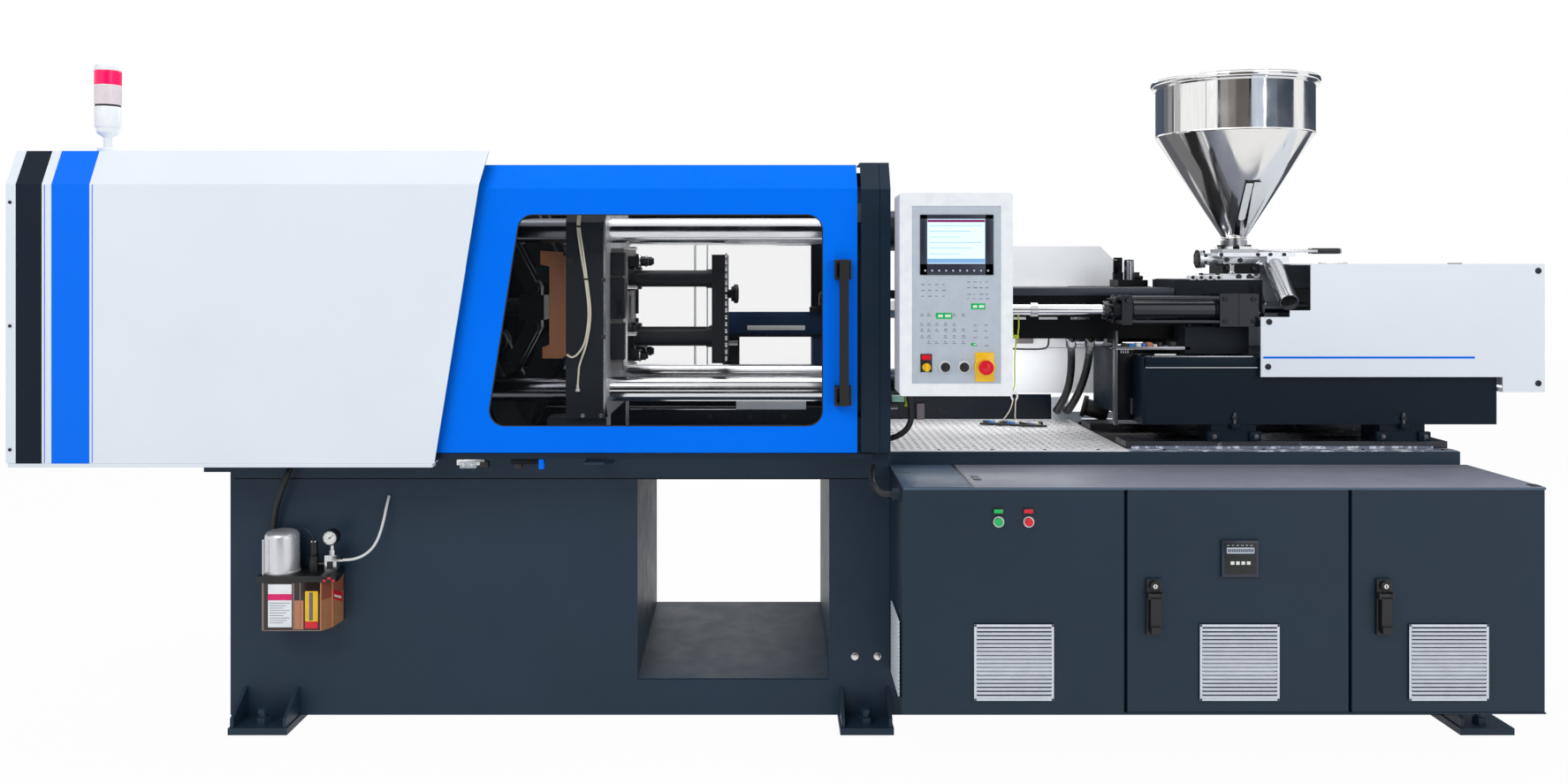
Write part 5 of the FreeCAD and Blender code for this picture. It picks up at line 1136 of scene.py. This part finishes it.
def cover_details():
    """Blue line and black screws on the injection cover."""
    kit = Kit("injection_cover_trim", "carriage", "cover_paint")
    kit.box((1.401, -0.301, 1.0898), (2.04, -0.2998, 1.0958), "blue")
    for x, z in ((1.4185, 1.2005), (1.4155, 1.065), (2.232, 1.355), (2.232, 1.015)):
        kit.turned((x, -0.2999, z), FRONT, [(0.0092, 0), (0.0092, 0.002), (0.007, 0.0042), (0.0036, 0.0044),
                (0.0036, 0.0022)], "black_screw", sides=24)
    kit.box((1.585, -0.27, 1.3758), (1.67, -0.26, 1.38), "zinc", 0.001)
    kit.box((1.99, -0.25, 1.3758), (2.03, -0.24, 1.3786), "black", 0.0006)
    kit.done()


FLANGE_Z = 1.392
SPOUT_WAY = Vector((-0.111, -0.836, -0.534)).normalized()


def housing_details():
    """Screws, caps and plates of the feed housing, and the flange, spout, plates and painted groove shade of
    the hopper base.
    """
    kit = Kit("feed_housing_trim", "carriage", "dark_casting")
    for x in (1.215, 1.29, 1.365):
        for y in (-0.19, 0.19):
            kit.screw((x, y, 1.18), UP, 0.018, 0.01)
    for z in (1.202, 1.22):
        kit.screw((1.465, -0.095, z), FRONT, 0.013, 0.006, "zinc")
    kit.box((1.35, -0.0975, 1.202), (1.448, -0.0945, 1.308), "black_paint", 0.002)
    kit.box((1.2, -0.1, 1.3245), (1.34, 0.1, 1.3275), "slate", 0.001)
    kit.lathe((1.139, 0.195, 1.3222), UP, [
        (0, 0), (0.0172, 0), (0.0172, 0.058), (0.016, 0.066), (0.011, 0.0695), (0, 0.07)],
        "aluminium", sides=32)
    kit.box((1.158, 0.178, 1.3222), (1.183, 0.212, 1.336), "black_paint", 0.003)
    kit.rod((1.166, 0.195, 1.335), (1.166, 0.195, 1.348), 0.009, "black_screw", sides=6)
    kit.rod((1.101, 0.195, 1.3222), (1.101, 0.195, 1.348), 0.0185, "black_paint", sides=6)
    kit.rod((1.09, 0.185, 1.348), (1.086, 0.17, 1.39), 0.008, "black_screw", sides=12)
    kit.box((1.336, -0.084, 1.3245), (1.476, 0.084, 1.329), "pale_cast", 0.0015)
    for x in (1.256, 1.283, 1.312, 1.338):
        kit.turned((x, -0.088, 1.3245), UP, [(0.015, 0), (0.015, 0.013), (0.012, 0.016)], "lens_pale", sides=24)
        kit.bolt((x, -0.103, 1.333), FRONT, 0.009, 0.003)
    for x in (1.344, 1.468):
        for y in (-0.076, 0.076):
            kit.turned((x, y, 1.3285), UP, [(0.014, 0), (0.014, 0.008), (0.012, 0.01)], "aluminium", sides=20)
            kit.screw((x, y, 1.338), UP, 0.013, 0.008)
    kit.done()
    base = Kit("hopper_base_trim", "carriage", "hopper_cast")
    for x, z in ((1.421, 1.388), (1.464, 1.36), (1.378, 1.39), (1.378, 1.364)):
        base.bolt((x, -0.062, z), FRONT, 0.014, 0.007)
    for x in (1.362, 1.48, 1.52, 1.564):
        base.bolt((x, -0.06, 1.406), FRONT, 0.01, 0.005)
    for x in (1.412, 1.446):
        base.lathe((x, -0.075, 1.3345), FRONT, [(0, 0), (0.0095, 0), (0.0095, 0.002), (0, 0.0024)], "black")
    # Painted shade: thin black bands on the front and sides stand for the shade of the groove under the flange.
    for x0, x1, y1 in ((1.367, 1.483, -0.0618), (1.3666, 1.3682, 0.0632), (1.4818, 1.4834, 0.0632)):
        base.box((x0, -0.0632, 1.3445), (x1, y1, 1.377), "black_paint")
    for x0, x1, y1 in ((1.3496, 1.4786, -0.0746), (1.3492, 1.3502, 0.0758)):
        base.box((x0, -0.0758, 1.3243), (x1, y1, 1.3442), "pale_cast")
    base.turned((1.39, -0.074, 1.344), UP, [(0.0115, 0), (0.0115, 0.006), (0.0085, 0.008), (0.0085, 0.028),
                                            (0.011, 0.031)], "stainless", sides=24)
    base.prism([(x, -0.064, z) for x, z in (
        (1.368, 1.4), (1.37, 1.379), (1.39, 1.377), (1.47, 1.377), (1.482, 1.388), (1.482, 1.4))],
        (0, 0.003, 0), "aluminium", 0.001)
    for (y, rise), (y_rod, rise_rod) in zip(around(6, 0.023, 30), around(6, 0.0235, 30)):
        base.screw((1.306, y, FLANGE_Z + rise), LEFT, 0.009, 0.005)
        base.rod((1.318, y_rod, FLANGE_Z + rise_rod), (1.33, y_rod, FLANGE_Z + rise_rod), 0.0048, "black_screw",
                 sides=6)
    base.turned((1.306, 0, FLANGE_Z), LEFT, [(0.03, 0), (0.03, 0.003), (0.014, 0.004)], "black_screw")
    mouth = Vector((1.54, 0.01, 1.412)) + SPOUT_WAY * 0.29
    base.turned(mouth - SPOUT_WAY * 0.02, SPOUT_WAY, [(0.0246, 0), (0.0246, 0.001)], "black")
    base.lathe(mouth - SPOUT_WAY * 0.006, SPOUT_WAY, [(0.0278, 0), (0.0295, 0.0015), (0.0295, 0.0045),
                                                      (0.0278, 0.006)], "stainless")
    base.done()


# ---- hopper ------------------------------------------------------------------------------------------------
HOPPER_X = 1.425


def hopper_details():
    """Rolled rims and seams of the hopper, its sight glass, and the grip of its slide."""
    kit = Kit("hopper_trim", "hopper_unit", "hopper_steel")
    for z, sides, profile in (
            (1.952, 128, [(0.2545, 0), (0.259, 0.003), (0.2612, 0.01), (0.259, 0.0175), (0.2545, 0.0198),
                          (0.252, 0.0185), (0.25, 0.012), (0.251, 0.003)]),
            (1.7905, 128, [(0.2435, 0), (0.2462, 0.0015), (0.2466, 0.0036), (0.2452, 0.0055), (0.2435, 0.006)]),
            (1.456, 64, [(0.0345, 0), (0.038, 0.002), (0.0395, 0.005), (0.0372, 0.008), (0.035, 0.009)])):
        kit.lathe((HOPPER_X, 0, z), UP, profile, "stainless", sides)
    for x in (0.94, -0.94):
        low = (HOPPER_X + x * 0.0362, 0.34 * 0.0362, 1.462)
        high = (HOPPER_X + x * 0.2452, 0.34 * 0.2452, 1.7935)
        kit.tube([low, high], 0.001, "stainless", sides=8)
    kit.tube([(HOPPER_X - 0.158, -0.1875, z) for z in (1.796, 1.948)], 0.0009, "stainless", sides=8)
    for x, y in around(6, 0.049, 20):
        kit.bolt((HOPPER_X + x, y, 1.432), UP, 0.011, 0.006)
    kit.turned((HOPPER_X, 0, 1.433), UP, [(0.041, 0), (0.041, 0.019), (0.0385, 0.021)], "aluminium", 64,
               bore=0.0352)
    kit.done()
    sight = Kit("hopper_sight_glass", "hopper_unit", "hopper_steel")
    along, out = Vector((0, -0.532, 0.8467)), Vector((0, -0.8467, -0.532))
    foot = Vector((HOPPER_X - 0.004, -0.068, 1.513))

    def on_cone(x, up, depth=0.0):
        return foot + Vector((x, 0, 0)) + along * up + out * depth

    def slot(half, start, end):
        angles = [math.pi + math.pi * k / 10 for k in range(11)]
        ring = [on_cone(half * math.cos(a), start + half + half * math.sin(a), -0.0004) for a in angles]
        return ring + [on_cone(half, end, -0.0004), on_cone(-half, end, -0.0004)]

    sight.prism(slot(0.0145, 0, 0.142), out * 0.0022, "black")
    sight.prism(slot(0.0108, 0.0035, 0.139), out * 0.003, "lens_pale")
    sight.rod(on_cone(-0.016, 0.146, 0.003), on_cone(0.034, 0.146, 0.003), 0.0022, "black_screw", sides=12)
    sight.done()
    slide = Kit("hopper_slide_grip", "hopper_unit", "hopper_cast")
    slide.lathe((1.66, -0.022, 1.418), RIGHT, [
        (0, 0), (0.0075, 0), (0.0088, 0.004), (0.0095, 0.01), (0.0095, 0.094), (0.0088, 0.1), (0.006, 0.1032),
        (0, 0.1034)], "black", sides=24)
    slide.box((1.483, -0.0335, 1.4135), (1.684, -0.0305, 1.4225), "steel", 0.0006)
    slide.done()


# ---- deck and slideways ------------------------------------------------------------------------------------
def slideways():
    """Strips beside the rails, seam and screws of the bed, and what lies on the deck's rear edge."""
    kit = Kit("slideway_strips", "machine", "deck_aluminium")
    # Front rail strips: dark steel with bright patches of painted highlight.
    kit.box((0.9925, -0.318, 0.8108), (1.98, -0.272, 0.814), "rail_glints", 0.0006)
    kit.box((0.9935, -0.145, 0.8131), (1.19, 0.145, 0.8137), "warm_steel")
    kit.box((1.01, -0.2712, 0.8138), (1.93, -0.2684, 0.8205), "rail_glints")
    kit.box((0.268, -0.32, 0.81), (0.99, -0.3181, 0.8136), "black_paint")
    kit.box((0.9925, -0.149, 0.8108), (1.98, 0.149, 0.813), "oily", 0.0006)
    kit.box((0.27, -0.3215, 0.8112), (0.989, -0.318, 0.8152), "deck", 0.0004)
    for x in (0.42, 0.58, 0.74, 0.9, 1.1, 1.4, 1.7, 1.94):
        kit.screw((x, -0.306, 0.814), UP, 0.01, 0.0025)
    kit.done()
    seam = Kit("bed_seam", "machine", "bed_paint")
    seam.box((-1.708, -0.3206, 0.7292), (0.262, -0.3196, 0.7318), "black")
    for x in (0.233, 0.165):
        seam.bolt((x, -0.32, 0.196), FRONT, 0.018, 0.008, "zinc")
    seam.screw((-1.679, -0.32, 0.786), FRONT, 0.03, 0.012, "zinc")
    for x in (-0.47, 0.07):
        seam.box((x - 0.01, -0.3212, 0.14), (x + 0.01, -0.3196, 0.143), "black")
    seam.done()
    rear = Kit("filter_unit", "machine", "tank_paint")
    rear.rod((1.027, 0.337, 0.872), (1.101, 0.318, 0.849), 0.03, "rubber", bevel=0.003)
    rear.rod((1.03, 0.336, 0.8715), (1.015, 0.34, 0.8755), 0.0385, "black", bevel=0.003)
    rear.box((1.035, 0.402, 0.811), (1.18, 0.436, 0.819), "white", 0.001)
    rear.rod((0.99, 0.292, 0.8195), (1.145, 0.292, 0.8195), 0.006, "black", sides=16)
    rear.box((0.929, 0.4378, 0.813), (0.9905, 0.4398, 0.8945), "white", 0.0006)
    rear.box((0.44, 0.424, 0.8152), (0.468, 0.4398, 0.871), "stone", 0.002)
    rear.box((0.269, 0.4462, 0.8935), (0.929, 0.4498, 0.904), "frame")
    rear.done()
    sheet = Kit("guard_sheet_trim", "carriage", "guard_sheet")
    sheet.tube(smooth_curve([(0.765, 0.3265, 1.077), (0.82, 0.3262, 1.0755), (0.872, 0.3262, 1.077),
                             (0.89, 0.3262, 1.086), (0.894, 0.3265, 1.11), (0.893, 0.3265, 1.15)]),
               0.0028, "black", sides=8)
    sheet.box((0.895, 0.3284, 1.0795), (1.12, 0.3294, 1.0812), "stone")
    sheet.box((0.778, 0.318, 1.096), (0.838, 0.329, 1.122), "stone", 0.0015)
    sheet.done()


# ---- small wires -------------------------------------------------------------------------------------------
def yellow_lead():
    """Yellow signal wire that hangs from the nozzle guard beside the panel down to the white ring."""
    kit = Kit("yellow_signal_wire", None, "hose_rubber")
    leaves, arrives = (0.689, -0.118, 1.118), (0.745, 0.205, 0.943)
    loop = [(0.676, -0.137, 1.145), (0.675, -0.1375, 1.19), (0.679, -0.1375, 1.223), (0.6865, -0.1375, 1.232),
            (0.693, -0.1375, 1.219), (0.6945, -0.1375, 1.18), (0.69, -0.137, 1.142), leaves,
            (0.699, -0.055, 1.085), (0.709, 0, 1.05), (0.733, 0.12, 0.98), arrives]
    kit.tube(smooth_curve(loop), 0.0024, "wire_yellow", sides=8)
    for z, tilt in ((1.143, 0.008), (1.15, -0.008)):
        kit.tube([(0.672, -0.1378, z), (0.683, -0.14, z + tilt), (0.694, -0.1378, z)], 0.0028, "wire_yellow",
                 sides=8)
    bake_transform(kit.done())


def deck_wires():
    """Bundle of plug connectors on the deck, with its white leads."""
    kit = Kit("connector_bundle", "machine", "tube_white")
    z = 0.8168
    chooser = random.Random(3)
    for k in range(15):
        x = 0.655 + 0.013 * k
        y = 0.262 - 0.004 * k + 0.01 * chooser.random()
        material = ("black", "blue_plastic", "blue_plastic", "white_plastic", "black")[k % 5]
        kit.box((x, y, z), (x + 0.0125, y + 0.026, z + 0.01 + 0.006 * chooser.random()), material, 0.0015)
    for route, radius, material in (
            ([(0.64, 0.262, 0.004), (0.7, 0.24, 0.006), (0.77, 0.216, 0.005), (0.86, 0.2, 0.004)], 0.004,
             "black"),
            ([(0.692, 0.258, 0.01), (0.716, 0.236, 0.022), (0.737, 0.215, 0.06), (0.744, 0.205, 0.094)], 0.002,
             "wire_white"),
            ([(0.754, 0.205, 0.094), (0.753, 0.21, 0.055), (0.758, 0.218, 0.024), (0.8, 0.222, 0.013),
              (0.842, 0.214, 0.008)], 0.002, "wire_white")):
        kit.tube(smooth_curve([(x, y, z + rise) for x, y, rise in route]), radius, material, sides=10)
    ring = [(0.749 + 0.01 * math.cos(a), 0.205, z + 0.106 + 0.015 * math.sin(a))
            for a in (math.radians(-60 + 300 * k / 14) for k in range(15))]
    kit.tube(ring, 0.0034, "white_plastic", sides=10)
    kit.done()


# ---- studio ------------------------------------------------------------------------------------------------
VANISHING_PIXEL = (870, 300)
PHOTO_SIZE = (1774, 887)
FOCAL_PIXELS = 1400
SENSOR_WIDTH = 36.0
EYE = (-0.093, -4.04, 1.372)


def camera():
    """The camera that took the reference view, from its vanishing point and focal length."""
    wide, high = PHOTO_SIZE
    data = bpy.data.cameras.new("camera")
    data.sensor_width = SENSOR_WIDTH
    data.lens = FOCAL_PIXELS * SENSOR_WIDTH / wide
    data.shift_x = (wide / 2 - VANISHING_PIXEL[0]) / wide
    data.shift_y = (VANISHING_PIXEL[1] - high / 2) / wide
    data.clip_end = 60
    eye = bpy.data.objects.new("camera", data)
    eye.location = EYE
    eye.rotation_euler = (math.radians(90), 0, 0)
    bpy.context.scene.collection.objects.link(eye)
    bpy.context.scene.camera = eye


def aim(piece, place, target):
    """Places a lamp or screen so that it faces a target."""
    piece.location = place
    piece.rotation_euler = (Vector(target) - Vector(place)).to_track_quat("-Z", "Y").to_euler()


def area_light(name, place, target, size, power):
    data = bpy.data.lights.new(name, "AREA")
    data.shape = "RECTANGLE"
    data.size, data.size_y = size
    data.energy = power
    lamp = bpy.data.objects.new(name, data)
    aim(lamp, place, target)
    bpy.context.scene.collection.objects.link(lamp)


# Rings around the hopper: distance, lower edge, upper edge. Screens: name, first and last angle, ring, colour.
BIN_SCREENS = (3.9, 1.98, 2.95)
CONE_SCREENS = (2.2, 0.02, 1.4)
HOPPER_SCREENS = [
    ("rear_left", 69, 130, BIN_SCREENS, (72, 82, 98)), ("left_edge", 130, 142, BIN_SCREENS, (106, 109, 116)),
    ("left_grey", 142, 151, BIN_SCREENS, (148, 148, 151)), ("left_dark", 151, 156, BIN_SCREENS, (96, 97, 102)),
    ("left_pale", 157, 169, BIN_SCREENS, (184, 184, 186)), ("line", -133, -129, BIN_SCREENS, (70, 70, 76)),
    ("middle", -129, -119, BIN_SCREENS, (150, 147, 144)),
    ("middle_warm", -119, -108, BIN_SCREENS, (128, 124, 120)),
    ("brown", -108, -90, BIN_SCREENS, (96, 92, 89)), ("pale", -87, -69, BIN_SCREENS, (196, 206, 222)),
    ("slate", -67, -50, BIN_SCREENS, (88, 100, 118)), ("slate_deep", -50, -21, BIN_SCREENS, (54, 62, 80)),
    ("right", 1, 69, BIN_SCREENS, (60, 68, 82)), ("cone_left", 76, 132, CONE_SCREENS, (98, 99, 104)),
    ("cone_right", 20, 66, CONE_SCREENS, (68, 74, 86))]


def seen_in_gloss_only(screen):
    """Studio screens light nothing and throw no shadow: bright metal mirrors them."""
    screen.visible_camera = False
    screen.visible_diffuse = False
    screen.visible_transmission = False
    screen.visible_shadow = False
    bpy.context.scene.collection.objects.link(screen)


def toned(name, colour):
    """A flat tone that bright metal mirrors as it is written."""
    return dress(new_material("tone_" + name)[0], {
        "Base Color": (0, 0, 0, 1), "Roughness": 1.0, "Emission Color": colour, "Emission Strength": 1.0})


def flag(name, place, target, size, material):
    """A flat screen that faces a target."""
    mesh = bpy.data.meshes.new(name)
    w, h = size[0] / 2, size[1] / 2
    mesh.from_pydata([(-w, -h, 0), (w, -h, 0), (w, h, 0), (-w, h, 0)], [], [(0, 1, 2, 3)])
    mesh.materials.append(material)
    screen = bpy.data.objects.new(name, mesh)
    aim(screen, place, target)
    seen_in_gloss_only(screen)


def curved_screen(name, start, stop, ring, colour):
    """Part of a ring of toned screens around the hopper, between two angles in degrees from the X axis."""
    steps = 8
    distance, bottom, top = ring
    angles = [math.radians(start + (stop - start) * k / steps) for k in range(steps + 1)]
    points = [(HOPPER_X + distance * math.cos(a), distance * math.sin(a), z)
              for z in (bottom, top) for a in angles]
    faces = [(k, k + 1, k + steps + 2, k + steps + 1) for k in range(steps)]
    mesh = bpy.data.meshes.new(name)
    mesh.from_pydata(points, [], faces)
    mesh.materials.append(toned(name, srgb(*colour)))
    seen_in_gloss_only(bpy.data.objects.new(name, mesh))


def backdrop_rays(tree):
    """1 for rays that should see the plain white background: camera, mirror and clear rays."""
    total = node(tree, "LightPath", {}, "Is Camera Ray")
    for name in ("Is Glossy Ray", "Is Transmission Ray"):
        total = maths(tree, "MAXIMUM", total, node(tree, "LightPath", {}, name))
    return total


def plain_world():
    """Soft even light, and a plain white background for rays that see it."""
    world = bpy.data.worlds.new("studio")
    bpy.context.scene.world = world
    world.use_nodes = True
    tree = world.node_tree
    feed(tree, tree.nodes["Background"], {"Color": (0.93, 0.96, 1.0, 1), "Strength": 0.45})
    plain = node(tree, "Background", {"Color": (1, 1, 1, 1), "Strength": 1.0})
    mix = node(tree, "MixShader", {0: backdrop_rays(tree), 1: tree.nodes["Background"].outputs[0], 2: plain})
    feed(tree, tree.nodes["World Output"], {"Surface": mix})


def floor():
    """A pale floor that takes shadows."""
    half = 14.0
    mesh = bpy.data.meshes.new("floor")
    corners = [(-half, -half, 0), (half, -half, 0), (half, half, 0), (-half, half, 0)]
    mesh.from_pydata(corners, [], [(0, 1, 2, 3)])
    material, tree = new_material("pale_floor")
    dress(material, {"Base Color": (0.90, 0.91, 0.92, 1), "Roughness": 0.8})
    glow = node(tree, "Emission", {"Strength": 1.0})
    share = maths(tree, "MULTIPLY", backdrop_rays(tree), 0.97)
    mix = node(tree, "MixShader", {0: share, 1: tree.nodes["Principled BSDF"].outputs[0], 2: glow})
    feed(tree, tree.nodes["Material Output"], {"Surface": mix})
    mesh.materials.append(material)
    ground = bpy.data.objects.new("floor", mesh)
    bpy.context.scene.collection.objects.link(ground)


def studio():
    """Background, floor, lamps and the screens that bright metal mirrors."""
    plain_world()
    floor()
    for name, place, target, size, power in (
            ("key", (-2.6, -4.6, 4.2), (-0.2, 0, 0.9), (3.2, 2.2), 92),
            ("fill", (3.4, -4.4, 2.8), (0.6, 0, 1.0), (3.0, 2.4), 56),
            ("top", (0.2, 0.2, 4.6), (0.2, 0, 1.0), (5.0, 2.0), 70),
            ("back", (1.0, 4.6, 3.2), (0.2, 0, 1.2), (4.0, 2.0), 60),
            ("behind_guard_low", (0.74, 0.135, 1.1), (0.74, 0.33, 1.0), (0.6, 0.05), 0.42),
            ("behind_guard_high", (0.74, 0, 1.62), (0.74, 0.33, 1.38), (0.6, 0.1), 0.47),
            ("above_deck", (0.63, 0.06, 1.12), (0.63, 0.061, 0.8), (0.6, 0.4), 0.95)):
        area_light(name, place, target, size, power)
    flag("flag_behind_camera", (0.2, -9.0, 1.6), (0.2, 0, 1.3), (6.5, 4.6), M["black_paint"])
    flag("flag_left_of_cone", (0.985, 0.165, 1.5), (1.29, -0.1, 1.75), (0.22, 0.34),
         toned("flag", srgb(118, 118, 120)))
    for name, start, stop, ring, colour in HOPPER_SCREENS:
        curved_screen("screen_" + name, start, stop, ring, colour)
    bpy.context.scene.view_settings.view_transform = "Standard"


# ---- everything --------------------------------------------------------------------------------------------
camera()
cords()
studio()
dress_nodes()
panel_front()
key_marks()
panel_switches()
grille("left_vent_grille", "machine", 0.46, 0.675)
grille("middle_vent_grille", "middle_door", 1.068, 1.283)
grille("right_vent_grille", "right_door", 1.632, 1.847)
side_grille()
cabinet_details()
checker_tread()
lubricator()
signal_light()
mould_space()
window_background()
harness()
gate_trim()
cover_trim()
carriage_details()
hose_fittings()
cylinder_details()
cover_details()
housing_details()
hopper_details()
slideways()
yellow_lead()
deck_wires()
